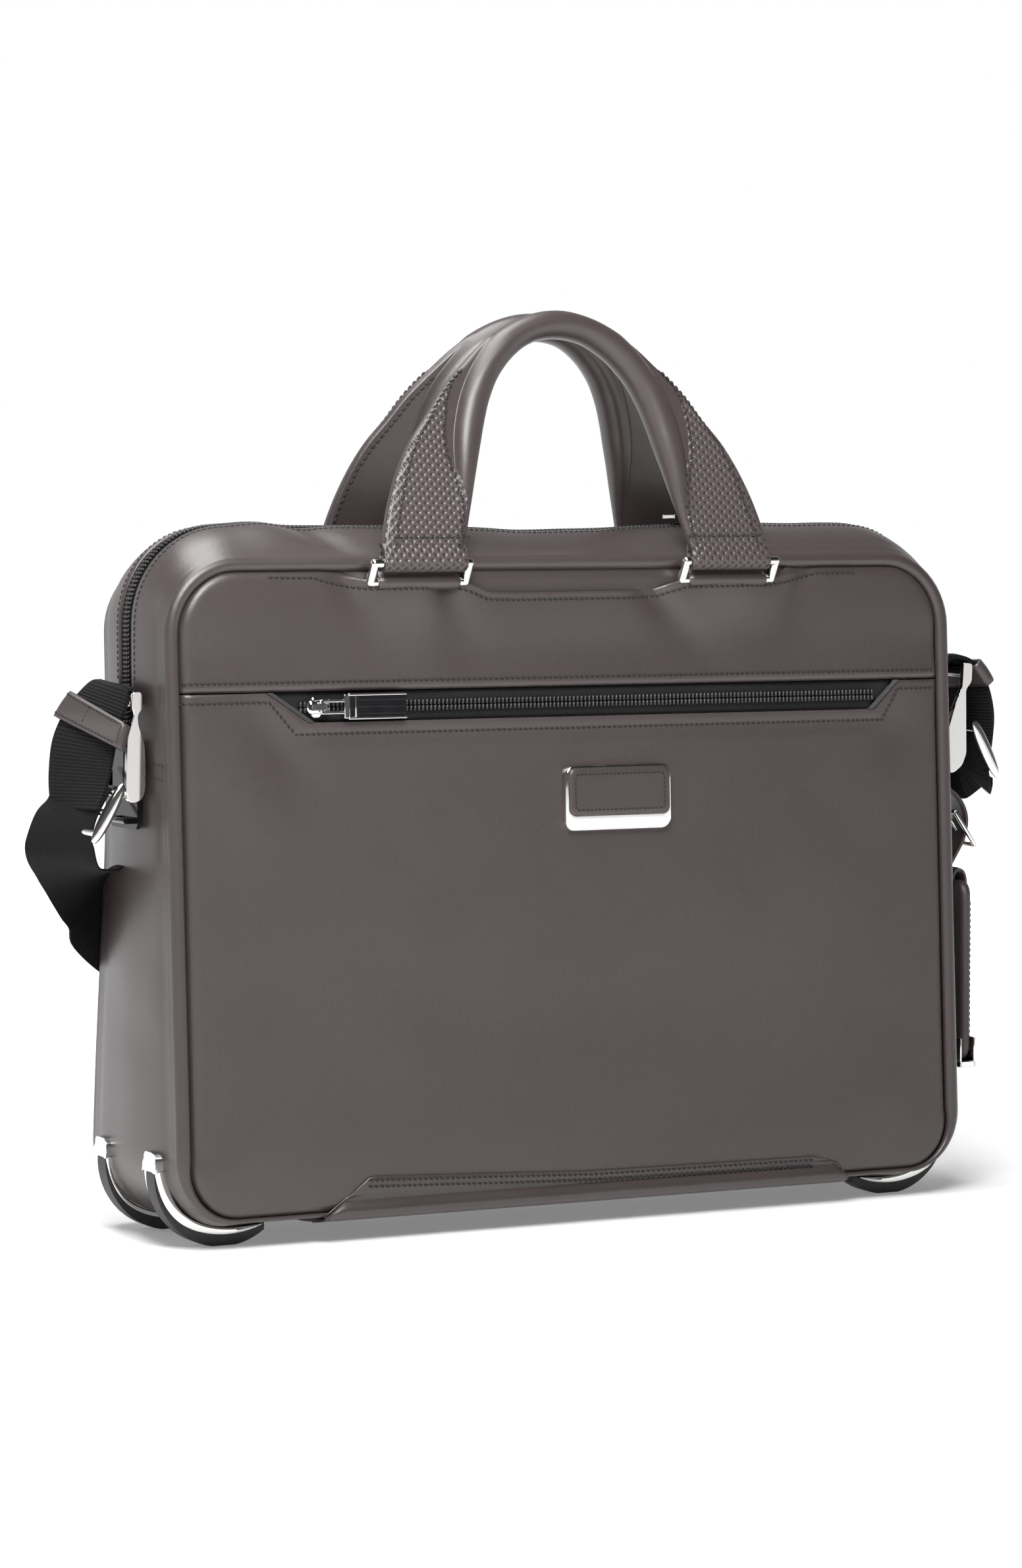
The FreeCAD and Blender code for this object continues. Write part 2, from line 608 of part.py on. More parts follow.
def handle_loft(extra):
    """Flat wings that roll up into a round grip, lofted from end to end; extra thickens the skin."""
    crown_point = (0, dim("handle_rise"), dim("grip_height"), dim("grip_width"))
    right = HANDLE_LINE + [crown_point]
    stations = right + [(-x, z, across, thick) for x, z, across, thick in reversed(HANDLE_LINE)]
    outlines = []
    for i, (x, z, across, thick) in enumerate(stations):
        before = stations[max(i - 1, 0)]
        after = stations[min(i + 1, len(stations) - 1)]
        along = Vector(after[0] - before[0], 0, after[1] - before[1]).normalize()
        radial = Vector(along.z, 0, -along.x)
        points = []
        for k in range(12):
            turn = 2 * math.pi * k / 12
            flat = [math.copysign(abs(v) ** 0.7, v) for v in (math.cos(turn), math.sin(turn))]
            points.append(Vector(x, 0, z) + radial * (flat[0] * across / 2)
                          + Vector(0, flat[1] * (thick / 2 + extra), 0))
        curve = Part.BSplineCurve()
        curve.interpolate(points, PeriodicFlag=True)
        outlines.append(Part.Wire([curve.toShape()]))
    return Part.makeLoft(outlines, True, False)


def handle_shape():
    """The handle's leather with a fold of leather round each ring's upper bar."""
    arch = handle_loft(0)
    half = dim("wing_width") / 2 - 0.3
    for middle in (-centre, centre):
        arch = arch.fuse(rod((middle - half, 0, 0), (1, 0, 0), FOLD_R, 2 * half))
    for middle in (-centre, centre):
        arch = arch.cut(rod((middle - 40, 0, 0), (1, 0, 0), bore_r, 80))
    return arch


HANDLE = Placement(HIGH_BAR, Rotation(Vector(1, 0, 0), -(dim("handle_lean") - LEAN)))
REAR_PLACE = Placement(Vector(dim("rear_shift"), 0, 0), Rotation()).multiply(BACK)
HANDLE_PLACES = (("front", FRONT), ("rear", REAR_PLACE))
for side, frame in HANDLE_PLACES:
    plain(side + "_ring_tabs", Part.makeCompound([tab_shape(-centre), tab_shape(centre)]), frame)
    plain(side + "_rings", Part.makeCompound([ring_shape(-centre), ring_shape(centre)]), frame)
    plain(side + "_handle", handle_shape(), frame.multiply(HANDLE))


# Outline of the embossed leather on the outer half of a wing, tapering to a point up the handle.
INSERT_LINE = [(97.5, 6), (95.5, 18), (90, 34), (81, 49), (70, 62), (56, 76), (53, 77), (60, 63),
               (62, 50), (58.5, 36), (57, 20), (57, 6)]


def inserts_shape():
    """Even skins that follow the outer face of both wings."""
    thickened, handle = handle_loft(1.2), handle_loft(0)
    outlines = [prism([(side * x, z) for x, z in INSERT_LINE], -20, 0) for side in (-1, 1)]
    return Part.makeCompound([thickened.common(outline).cut(handle) for outline in outlines])


for side, frame in HANDLE_PLACES:
    plain(side + "_handle_inserts", inserts_shape(), frame.multiply(HANDLE))

# ------------------------------------------------------------------ skid guards at the bottom corners
guard_half = dim("guard_width") / 2
TREAD_HALF, CAP_LOW = 4.6, 34
WORN_FLAT = 0.5                   # the foot's round is cut flat this deep where it stands
foot_r, foot_x = dim("guard_foot"), dim("foot_centre")


def guard_frame(side, row):
    """Metal channel that wraps a bottom corner, capped at its top and open along the foot."""
    outline = [Vector(side * x, 0, z) for x, z in
               ((206.5, 42), (206.5, 36), (197, 14.5), (172, 4.6), (151, 8), (148.5, 12.5),
                (160, 34), (185, 42))]
    edges = [Part.makeLine(outline[0], outline[1]),
             Part.Arc(*outline[1:4]).toShape()]
    edges += [Part.makeLine(outline[i], outline[(i + 1) % 8]) for i in range(3, 8)]
    channel = Part.Face(Part.Wire(edges)).extrude(Vector(0, 2 * guard_half, 0))
    channel.translate(Vector(0, row - guard_half, 0))
    slot = block((-REACH, row - TREAD_HALF, -5), (REACH, row + TREAD_HALF, CAP_LOW))
    return channel.cut(slot).cut(outer.Shape)


def guard_tread(side, row):
    """Rubber foot that fills the channel and stands proud of it."""
    foot = rod((side * foot_x, row - TREAD_HALF + 0.1, foot_r - WORN_FLAT), (0, 1, 0), foot_r,
               2 * TREAD_HALF - 0.2)
    low_x, high_x = sorted((side * 152, side * 215))
    foot = foot.common(block((low_x, row - 10, 0), (high_x, row + 10, CAP_LOW - 0.1)))
    return foot.cut(outer.Shape)


guards = [(side, row) for side in (-1, 1) for row in (-dim("guard_row"), dim("guard_row"))]
plain("skid_guard_frames", Part.makeCompound([guard_frame(*place) for place in guards]))
plain("skid_guard_treads", Part.makeCompound([guard_tread(*place) for place in guards]))
plain("base_panel", block((-135, -36, 8.2), (135, 36, 13)).cut(outer.Shape))

# ------------------------------------------------------------------ inside the case
plain("base_board", block((-168, -37, 15.9), (168, 37, 18.4)))
plain("laptop_divider", block((-186, -3, 19), (186, 3, 285)))
plain("laptop_strap", block((-19, 3.05, 120), (19, 4.6, 284)))
organizer = block((-170, 4.2, 10), (170, 5.8, 200))
for low_x, high_x, top in ((-168, -62, 108), (-58, 58, 130), (62, 168, 108)):
    organizer = organizer.fuse(block((low_x, 5.8, 12), (high_x, 7.2, top)))
plain("organizer_panel", organizer, FRONT)

# ------------------------------------------------------------------ shoulder strap ends
# Everything at one end of the strap is drawn round the clip's pin: X away from the case, Z up.
PIN_OUT = mid_half + 6.0          # the pin stands this far from the middle of the case
STRAP_ROW = -2
webbing = dim("webbing")
CHEEK_IN, CHEEK_OUT = webbing / 2 - 0.3, webbing / 2 + 2
END_R = 3.8
TOP_BAR = (1.2, 38.5)             # middle of the bar that carries the webbing
TAG_BAR = (-1.2, -13.4)           # middle of the small bar that carries the luggage tag
LEFT_PATH = [(-3.2, 36.5), (-1.9, 41.2), (1.2, 42.9), (5, 41.9), (9.5, 37.8), (15, 31.5), (18.3, 24),
             (19.3, 14), (18.8, 4), (16.5, -5), (14.5, -9.5)]
RIGHT_PATH = [(-3.2, 36.5), (-1.9, 41.2), (1.2, 42.9), (5.5, 42.2), (12.5, 38.5), (19, 32), (22.3, 24),
              (22.8, 16), (22, 11)]
LOOP_THICK = 3.2                  # two layers of webbing sewn together


def anchor_shape():
    """Plate sewn to the side with a knuckle for the clip's pin and a bar for the tag's strap."""
    plate = block((-6.0, -15, -17), (-4.2, 15, 16))
    plate = plate.makeFillet(3, [e for e in plate.Edges if abs(e.tangentAt(e.FirstParameter).x) > 0.99])
    knuckle = rod((0, -6, 0), (0, 1, 0), 3.2, 12).fuse(block((-4.4, -6, -2.6), (0, 6, 2.6)))
    bar = rod((TAG_BAR[0], -9.6, TAG_BAR[1]), (0, 1, 0), 1.3, 19.2)
    for low in (-9.6, 8):
        bar = bar.fuse(block((-4.4, low, TAG_BAR[1] - 1.3), (TAG_BAR[0], low + 1.6, TAG_BAR[1] + 1.3)))
    return plate.fuse(knuckle).fuse(bar).cut(rod((0, -7, 0), (0, 1, 0), 1.5 + dim("running_gap"), 14))


def clip_frame_shape():
    """Two metal cheeks joined by the pin at the bottom and the strap bar at the top."""
    frame = rod((0, -CHEEK_OUT, 0), (0, 1, 0), 1.5, 2 * CHEEK_OUT)
    frame = frame.fuse(rod((TOP_BAR[0], -CHEEK_OUT, TOP_BAR[1]), (0, 1, 0), 2.5, 2 * CHEEK_OUT))
    for low in (-CHEEK_OUT, CHEEK_IN):
        thick = CHEEK_OUT - CHEEK_IN
        body = prism([(-END_R, 0), (END_R + 0.4, 0), (END_R + 0.4, 20), (4.2, 30), (4.8, 31.5), (4.8, 43.5),
                      (-1.8, 43.5), (-1.8, 32), (0.2, 29), (0.2, 23), (-END_R, 18.5)], thick, low)
        frame = frame.fuse(body).fuse(rod((0, low, 0), (0, 1, 0), END_R, thick))
    return frame.removeSplitter()


def clip_block_shape():
    """Black core between the cheeks, cut away round the anchor's knuckle."""
    half = CHEEK_IN - 0.1
    core = block((-3.7, -half, 0), (END_R, half, 22)).fuse(rod((0, -half, 0), (0, 1, 0), 3.7, 2 * half))
    core = core.cut(block((-9, -6.6, -9), (3.9, 6.6, 9)))
    return core.cut(rod((0, -half - 1, 0), (0, 1, 0), 1.5, 2 * half + 2))


def triglide_shape(middle, along):
    """Three-bar adjuster lying across the webbing at a slant."""
    plate = block((-13, -webbing / 2 - 4, -1.1), (13, webbing / 2 + 4, 1.1))
    plate = plate.makeFillet(3, [e for e in plate.Edges if abs(e.tangentAt(e.FirstParameter).z) > 0.99])
    for low in (-8.5, 3):
        plate = plate.cut(block((low, -webbing / 2 - 0.5, -2), (low + 5.5, webbing / 2 + 0.5, 2)))
    turn = math.degrees(math.atan2(-along[1], along[0]))
    plate.Placement = Placement(Vector(middle[0], 0, middle[1]), Rotation(Vector(0, 1, 0), turn))
    return plate


def keeper_shape(start, end):
    """Leather loop round the webbing between two points of its path."""
    run = Vector(end[0] - start[0], 0, end[1] - start[1])
    long_half, high, inner = 6.5, LOOP_THICK / 2 + 2.4, LOOP_THICK / 2 + 0.8
    loop = block((-long_half, -webbing / 2 - 2.2, -high), (long_half, webbing / 2 + 2.2, high))
    loop = loop.cut(block((-long_half - 1, -webbing / 2 - 0.6, -inner),
                          (long_half + 1, webbing / 2 + 0.6, inner)))
    turn = math.degrees(math.atan2(-run.z, run.x))
    loop.Placement = Placement(Vector((start[0] + end[0]) / 2, 0, (start[1] + end[1]) / 2),
                               Rotation(Vector(0, 1, 0), turn))
    return loop


STRAP_ENDS = {
    "left": (180, dim("clip_lean_left"), LEFT_PATH, (14.5, -8.5), (0.49, -0.87)),
    "right": (0, dim("clip_lean_right"), RIGHT_PATH, (22, 12), (0.625, -0.78)),
}
for side, (heading, clip_lean, path, glide_at, glide_along) in STRAP_ENDS.items():
    pin_x = PIN_OUT if side == "right" else -PIN_OUT
    upright = Placement(Vector(pin_x, STRAP_ROW, dim("strap_pivot")), Rotation(Vector(0, 0, 1), heading))
    leaning = upright.multiply(Placement(Vector(0, 0, 0), Rotation(Vector(0, 1, 0), clip_lean)))
    plain(side + "_strap_anchor", anchor_shape(), upright)
    plain(side + "_clip_frame", clip_frame_shape(), leaning)
    plain(side + "_clip_block", clip_block_shape(), leaning)
    plain(side + "_webbing_loop", ribbon(path, LOOP_THICK, webbing - 1, 0), leaning)
    plain(side + "_triglide", triglide_shape(glide_at, glide_along), leaning)
    plain(side + "_strap_keeper", keeper_shape(path[4], path[5]), leaning)

# Centre line of the strap from each tri-glide round to the middle of the back, with the direction
# of its width at each station; it turns from lying across the side to standing against the back.
LEFT_RUN = [((-231.6, -2, 175.4), (0, 1, 0)), ((-234.2, 0.3, 166.7), (0, 0.92, 0.38)),
            ((-236.5, 6.8, 157), (0, 0.71, 0.71)), ((-235, 16.5, 150.5), (0, 0.38, 0.92)),
            ((-228.5, 28, 148), (0, 0, 1)), ((-217, 41, 145.5), (0, 0, 1)),
            ((-203, 49.6, 141), (0, 0, 1)), ((-186, 48.8, 133), (0, -0.052, 1)),
            ((-140, 48.4, 108), (0, -0.052, 1)), ((-70, 48.8, 91), (0, -0.052, 1)),
            ((0, 49.0, 86), (0, -0.052, 1))]
RIGHT_RUN = [((240.2, -2, 190.4), (0, 1, 0)), ((241.2, 0.3, 182), (0, 0.92, 0.38)),
             ((240.5, 6.8, 172.3), (0, 0.71, 0.71)), ((236.5, 16.5, 165.8), (0, 0.38, 0.92)),
             ((228.5, 28, 163), (0, 0, 1)), ((217, 41, 160), (0, 0, 1)),
             ((203, 49.6, 154), (0, 0, 1)), ((186, 48.8, 145), (0, -0.052, 1)),
             ((140, 48.4, 116), (0, -0.052, 1)), ((70, 48.8, 93), (0, -0.052, 1)),
             ((0, 49.0, 86), (0, -0.052, 1))]


def strap_run(stations):
    """Flat webbing through rectangles that stand square to the strap's line, faced with triangles."""
    rings = []
    for i, (spot, across) in enumerate(stations):
        here = Vector(*spot)
        before = Vector(*stations[max(i - 1, 0)][0])
        after = Vector(*stations[min(i + 1, len(stations) - 1)][0])
        along = (after - before).normalize()
        if i == len(stations) - 1:
            along = Vector(math.copysign(1, -stations[0][0][0]), 0, 0)
        wide = Vector(*across)
        wide = (wide - along * wide.dot(along)).normalize() * (webbing / 2)
        thick = along.cross(wide).normalize() * (dim("webbing_thick") / 2)
        rings.append([here + wide + thick, here - wide + thick, here - wide - thick,
                      here + wide - thick])
    triangles = []
    for one, two in zip(rings, rings[1:]):
        for k in range(4):
            low, high = k, (k + 1) % 4
            triangles.append((one[low], one[high], two[high]))
            triangles.append((one[low], two[high], two[low]))
    for end in (rings[0], rings[-1]):
        triangles.append((end[0], end[1], end[2]))
        triangles.append((end[0], end[2], end[3]))
    faces = [Part.Face(Part.makePolygon([a, b, c, a])) for a, b, c in triangles]
    solid = Part.makeSolid(Part.makeShell(faces))
    if solid.Volume < 0:
        solid.reverse()
    return solid


plain("left_strap_run", strap_run(LEFT_RUN))
plain("right_strap_run", strap_run(RIGHT_RUN))

# ------------------------------------------------------------------ luggage tag under the right clip
TAG_AXIS = Vector(PIN_OUT + TAG_BAR[0], STRAP_ROW, dim("strap_pivot") + TAG_BAR[1])
TAG_ROW = -9
tag_width, tag_height = dim("tag_width"), dim("tag_height")
# Drawn from the bar it hangs on: X away from the case, Y along the bar, Z up.
TAG = Placement(TAG_AXIS, Rotation())
TAG_IN, TAG_OUT = 3.1, 8.6          # the tag's two faces
strap_loop = rod((0, -6.5, 0), (0, 1, 0), 2.6, 13).fuse(block((0.2, -6.5, -46), (2.6, 6.5, 0)))
plain("tag_strap", strap_loop.cut(rod((0, -8, 0), (0, 1, 0), 1.45, 16)).removeSplitter(), TAG)
buckle = block((3.0, -9, -27), (4.8, 9, -11)).cut(block((2, -7, -24.6), (6, 7, -13.4)))
buckle = buckle.fuse(rod((3.9, -8, -12.2), (0, 1, 0), 0.9, 16)).removeSplitter()
prong = block((3.2, -0.9, -24.5), (4.6, 0.9, -13.5))
plain("tag_buckle", Part.makeCompound([buckle, prong]), TAG)
tag_high = -52
tag_low = tag_high - tag_height
tag_left, tag_right = TAG_ROW - tag_width / 2, TAG_ROW + tag_width / 2
body = block((TAG_IN, tag_left, tag_low), (TAG_OUT, tag_right, tag_high))
body = body.makeFillet(4, [e for e in body.Edges if abs(e.tangentAt(e.FirstParameter).x) > 0.99])
body = body.fuse(block((2.9, -6.5, tag_high - 1), (4.5, 6.5, -36)))
body = body.fuse(block((TAG_OUT, -9, tag_high - 22), (TAG_OUT + 1.6, 9, tag_high - 0.1)))
plain("tag_body", body.removeSplitter(), TAG)
corner = block((TAG_IN - 1.3, tag_left - 0.8, tag_low - 1.3),
               (TAG_OUT + 1.3, tag_right + 0.8, tag_low + 13))
corner = corner.cut(block((TAG_IN - 0.05, tag_left - 2, tag_low - 0.05),
                          (TAG_OUT + 0.05, tag_right + 2, tag_low + 14)))
plain("tag_corner", corner, TAG)

# ------------------------------------------------------------------ check and write
doc.recompute()
for obj in doc.Objects:
    if "Invalid" in obj.State or "Error" in obj.State:
        raise ValueError("%s did not build: %s" % (obj.Name, obj.State))
for obj in NODES:
    if obj.Shape.isNull() or not obj.Shape.isValid():
        raise ValueError("%s has no valid shape" % obj.Label)
os.makedirs("parts", exist_ok=True)
for obj in NODES:
    obj.Shape.exportStep("parts/%s.step" % obj.Label)
print(len(NODES), "sub-parts written")
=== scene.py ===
"""Looks of the soft leather laptop briefcase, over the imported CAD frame.
Lengths are millimetres until a mesh is made; +X right, front at -Y, +Z up."""
import bmesh
import bpy
import json
import math
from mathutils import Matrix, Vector, noise


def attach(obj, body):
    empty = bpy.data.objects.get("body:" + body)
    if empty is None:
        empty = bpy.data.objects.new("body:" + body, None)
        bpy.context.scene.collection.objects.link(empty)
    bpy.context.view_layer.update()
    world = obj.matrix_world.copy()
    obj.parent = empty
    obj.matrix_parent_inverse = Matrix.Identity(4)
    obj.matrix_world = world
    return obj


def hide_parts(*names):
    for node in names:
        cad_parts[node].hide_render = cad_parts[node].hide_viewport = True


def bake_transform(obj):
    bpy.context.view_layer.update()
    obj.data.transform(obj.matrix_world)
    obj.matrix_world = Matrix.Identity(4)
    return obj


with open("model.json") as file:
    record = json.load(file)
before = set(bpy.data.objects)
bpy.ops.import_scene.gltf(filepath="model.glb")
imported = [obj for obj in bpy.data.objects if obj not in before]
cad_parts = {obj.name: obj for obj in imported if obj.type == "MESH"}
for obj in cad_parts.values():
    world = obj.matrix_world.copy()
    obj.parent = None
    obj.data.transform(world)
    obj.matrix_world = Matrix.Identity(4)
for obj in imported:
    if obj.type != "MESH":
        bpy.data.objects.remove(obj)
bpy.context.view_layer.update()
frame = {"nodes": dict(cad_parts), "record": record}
NODES = frame["nodes"]

# ------------------------------------------------------------------ camera, light, floor
camera = bpy.data.objects.new("camera", bpy.data.cameras.new("camera"))
bpy.context.scene.collection.objects.link(camera)
camera.data.lens = 109.66
camera.data.sensor_width = 36
camera.location = (-1.0221, -1.9350, 0.3304)
camera.rotation_euler = (Vector((-0.0125, 0, 0.1967)) - camera.location).to_track_quat("-Z", "Y").to_euler()
bpy.context.scene.camera = camera
bpy.context.scene.view_settings.view_transform = "Standard"


def softbox(name, place, target, width, height, power):
    light = bpy.data.lights.new(name, "AREA")
    light.shape, light.size, light.size_y, light.energy = "RECTANGLE", width, height, power
    obj = bpy.data.objects.new(name, light)
    bpy.context.scene.collection.objects.link(obj)
    obj.location = place
    obj.rotation_euler = (Vector(target) - Vector(place)).to_track_quat("-Z", "Y").to_euler()


softbox("key", (-0.30, -0.60, 0.80), (-0.04, -0.04, 0.3), 0.4, 0.4, 10.5)
softbox("top", (-0.3, 0.1, 1.5), (0, 0, 0.2), 1.5, 0.7, 26)
softbox("side", (-2.0, 0.9, 1.1), (-0.2, 0, 0.2), 0.5, 0.9, 4)
world = bpy.data.worlds.new("studio")
bpy.context.scene.world = world
world.use_nodes = True
sky = world.node_tree
split = sky.nodes.new("ShaderNodeSeparateXYZ")
sky.links.new(sky.nodes.new("ShaderNodeTexCoord").outputs["Generated"], split.inputs[0])


def sky_ramp(source, low, high, dark, light):
    """Grey that runs from dark to light as the source goes from low to high."""
    ramp = sky.nodes.new("ShaderNodeMapRange")
    ramp.interpolation_type = "SMOOTHSTEP"
    sky.links.new(source, ramp.inputs["Value"])
    for socket, value in (("From Min", low), ("From Max", high), ("To Min", dark), ("To Max", light)):
        ramp.inputs[socket].default_value = value
    return ramp.outputs["Result"]


# A white horizon under a darker ceiling; the wall behind the case is the brightest.
shade = sky.nodes.new("ShaderNodeMath")
shade.operation = "MULTIPLY"
sky.links.new(sky_ramp(split.outputs["Z"], 0.12, 0.65, 1.0, 0.22), shade.inputs[0])
sky.links.new(sky_ramp(split.outputs["Y"], -0.3, 0.82, 0.12, 1.0), shade.inputs[1])
sky.links.new(shade.outputs[0], sky.nodes["Background"].inputs["Strength"])
sky.nodes["Background"].inputs["Color"].default_value = (1, 1, 1, 1)

floor_mesh = bpy.data.meshes.new("floor")
REACH = 30
floor_mesh.from_pydata([(-REACH, -REACH, 0), (REACH, -REACH, 0), (REACH, REACH, 0), (-REACH, REACH, 0)], [],
                       [(0, 1, 2, 3)])
floor = bpy.data.objects.new("floor", floor_mesh)
bpy.context.scene.collection.objects.link(floor)

# ------------------------------------------------------------------ materials
MATERIALS = {}


class Shader:
    """Small helper that wires one material's nodes."""

    def __init__(self, name, rough, metallic=0.0, **sockets):
        self.material = bpy.data.materials.new(name)
        self.material.use_nodes = True
        self.tree = self.material.node_tree
        self.bsdf = self.tree.nodes["Principled BSDF"]
        self.bsdf.inputs["Roughness"].default_value = rough
        self.bsdf.inputs["Metallic"].default_value = metallic
        for socket, value in sockets.items():
            self.bsdf.inputs[socket.replace("_", " ")].default_value = value
        MATERIALS[name] = self.material

    def node(self, kind, **settings):
        made = self.tree.nodes.new(kind)
        for key, value in settings.items():
            if key in made.inputs:
                made.inputs[key].default_value = value
            else:
                setattr(made, key, value)
        return made

    def link(self, source, target):
        self.tree.links.new(source, target)

    def coordinates(self, kind="Object"):
        return self.node("ShaderNodeTexCoord").outputs[kind]

    def math(self, operation, first, second=0.0):
        made = self.node("ShaderNodeMath", operation=operation)
        for socket, value in zip(made.inputs, (first, second)):
            if isinstance(value, (int, float)):
                socket.default_value = value
            else:
                self.link(value, socket)
        return made.outputs[0]

    def ripple(self, source, step):
        """Rounded ridges, one to each step along the source."""
        return self.math("ABSOLUTE", self.math("SINE", self.math("MULTIPLY", source, math.pi / step)))

    def mix(self, factor, dark, light):
        """Colour between two, by a factor from 0 to 1."""
        made = self.node("ShaderNodeMix", data_type="RGBA")
        self.link(factor, made.inputs[0])
        made.inputs[6].default_value = (*dark, 1)
        made.inputs[7].default_value = (*light, 1)
        return made.outputs[2]

    def bump(self, height, distance, strength=1.0, after=None):
        made = self.node("ShaderNodeBump", Strength=strength, Distance=distance)
        self.link(height, made.inputs["Height"])
        if after is not None:
            self.link(after, made.inputs["Normal"])
        return made.outputs[0]

    def finish(self, colour=None, normal=None, roughness=None):
        if isinstance(colour, tuple):
            self.bsdf.inputs["Base Color"].default_value = (*colour, 1)
        elif colour is not None:
            self.link(colour, self.bsdf.inputs["Base Color"])
        if normal is not None:
            self.link(normal, self.bsdf.inputs["Normal"])
        if roughness is not None:
            self.link(roughness, self.bsdf.inputs["Roughness"])
        return self.material


LEATHER_DARK, LEATHER_LIGHT = (0.037, 0.0275, 0.0275), (0.052, 0.0395, 0.0395)


def leather_grain(shader):
    """Fine pebbled grain with a slow waviness; gives the bump normal and a mottled colour."""
    place = shader.coordinates()
    pebble = shader.node("ShaderNodeTexVoronoi", Scale=1500.0)
    cloud = shader.node("ShaderNodeTexNoise", Scale=16.0, Detail=3.0)
    fine = shader.node("ShaderNodeTexNoise", Scale=420.0, Detail=4.0)
    for texture in (pebble, cloud, fine):
        shader.link(place, texture.inputs["Vector"])
    slow = shader.bump(cloud.outputs[0], 0.0012, 0.12)
    grain = shader.bump(pebble.outputs["Distance"], 0.00012, 0.22, slow)
    normal = shader.bump(fine.outputs[0], 0.0002, 0.25, grain)
    blotch = shader.math("ADD", shader.math("MULTIPLY", cloud.outputs[0], 0.6),
                         shader.math("MULTIPLY", fine.outputs[0], 0.4))
    return normal, blotch, place


def leather(name, dark=LEATHER_DARK, light=LEATHER_LIGHT, rough=0.37):
    shader = Shader(name, rough, Specular_IOR_Level=0.6)
    normal, blotch, _ = leather_grain(shader)
    rough_map = shader.math("ADD", shader.math("MULTIPLY", blotch, 0.16), rough - 0.08)
    shader.finish(shader.mix(blotch, dark, light), normal, rough_map)


def embossed(name, cell, depth):
    """Leather pressed with staggered raised diamonds; the grooves between them are darker with painted shade,
    besides the bump.
    """
    shader = Shader(name, 0.36, Specular_IOR_Level=0.5)
    normal, blotch, place = leather_grain(shader)
    split = shader.node("ShaderNodeSeparateXYZ")
    shader.link(place, split.inputs[0])
    sideways, upward = (shader.math("DIVIDE", split.outputs[axis], cell) for axis in "XZ")
    ripples = []
    for operation in ("ADD", "SUBTRACT"):
        ripples.append(shader.ripple(shader.math(operation, sideways, upward), 1.0))
    hollow = shader.math("POWER", shader.math("MULTIPLY", ripples[0], ripples[1]), 1.8)
    raised = shader.math("SUBTRACT", 1.0, hollow)
    pressed = shader.bump(raised, depth, 1.0, normal)
    # Painted shade: the colour darkens from the raised parts down into the pressed hollows.
    tone_with_painted_shade = shader.mix(shader.math("POWER", raised, 0.6), (0.016, 0.012, 0.012), (0.066, 0.051, 0.051))
    shader.finish(tone_with_painted_shade, pressed)


def thread():
    shader = Shader("thread", 0.6)
    twist = shader.node("ShaderNodeTexNoise", Scale=900.0)
    shader.link(shader.coordinates(), twist.inputs["Vector"])
    shader.finish(shader.mix(twist.outputs[0], (0.004, 0.003, 0.003), (0.014, 0.01, 0.01)),
                  shader.bump(twist.outputs[0], 0.0003, 0.4))


def polished(name, dark, light):
    """Polished metal with faint handling marks."""
    shader = Shader(name, 0.09, 1.0)
    marks = shader.node("ShaderNodeTexNoise", Scale=60.0, Detail=5.0)
    shader.link(shader.coordinates(), marks.inputs["Vector"])
    rough = shader.math("ADD", shader.math("MULTIPLY", marks.outputs[0], 0.09), 0.05)
    shader.finish(shader.mix(marks.outputs[0], dark, light), None, rough)


def woven(name, dark, light, along, across, depth):
    """Webbing: ribs across its length (UV in millimetres: u along, v across)."""
    shader = Shader(name, 0.75, Specular_IOR_Level=0.12)
    split = shader.node("ShaderNodeSeparateXYZ")
    shader.link(shader.coordinates("UV"), split.inputs[0])
    rib, yarn = (shader.ripple(split.outputs[axis], step) for axis, step in (("X", along), ("Y", across)))
    height = shader.math("ADD", shader.math("MULTIPLY", rib, 0.7), shader.math("MULTIPLY", yarn, 0.3))
    shader.finish(shader.mix(height, dark, light), shader.bump(height, depth, 1.0))


def cloth(name, dark, light, scale, rough=0.8):
    """Plain fine weave for tapes and lining."""
    shader = Shader(name, rough, Specular_IOR_Level=0.3)
    weave = shader.node("ShaderNodeTexWave", Scale=scale, Distortion=1.0, bands_direction="DIAGONAL")
    shader.link(shader.coordinates(), weave.inputs["Vector"])
    weft = weave.outputs["Fac"]
    shader.finish(shader.mix(weft, dark, light), shader.bump(weft, 0.0003, 0.6))


def moulded(name, dark, light, rough, scale=220.0):
    """Moulded plastic or rubber with a fine texture."""
    shader = Shader(name, rough)
    speck = shader.node("ShaderNodeTexNoise", Scale=scale, Detail=3.0)
    shader.link(shader.coordinates(), speck.inputs["Vector"])
    shader.finish(shader.mix(speck.outputs[0], dark, light), shader.bump(speck.outputs[0], 0.0002, 0.25))


def paper():
    """White floor with a barely visible tooth, which glows with distance so that no horizon shows."""
    shader = Shader("paper", 0.9)
    tooth = shader.node("ShaderNodeTexNoise", Scale=40.0, Detail=2.0)
    shader.link(shader.coordinates(), tooth.inputs["Vector"])
    shader.bsdf.inputs["Emission Color"].default_value = (1, 1, 1, 1)
    far = shader.node("ShaderNodeVectorMath", operation="LENGTH")
    shader.link(shader.coordinates(), far.inputs[0])
    glow = shader.node("ShaderNodeMapRange", interpolation_type="SMOOTHSTEP")
    for socket, value in (("From Min", 0.3), ("From Max", 1.0), ("To Min", 0.2), ("To Max", 0.9)):
        glow.inputs[socket].default_value = value
    shader.link(far.outputs["Value"], glow.inputs["Value"])
    shader.link(glow.outputs["Result"], shader.bsdf.inputs["Emission Strength"])
    shader.finish(shader.mix(tooth.outputs[0], (0.8, 0.8, 0.8), (0.84, 0.84, 0.84)))


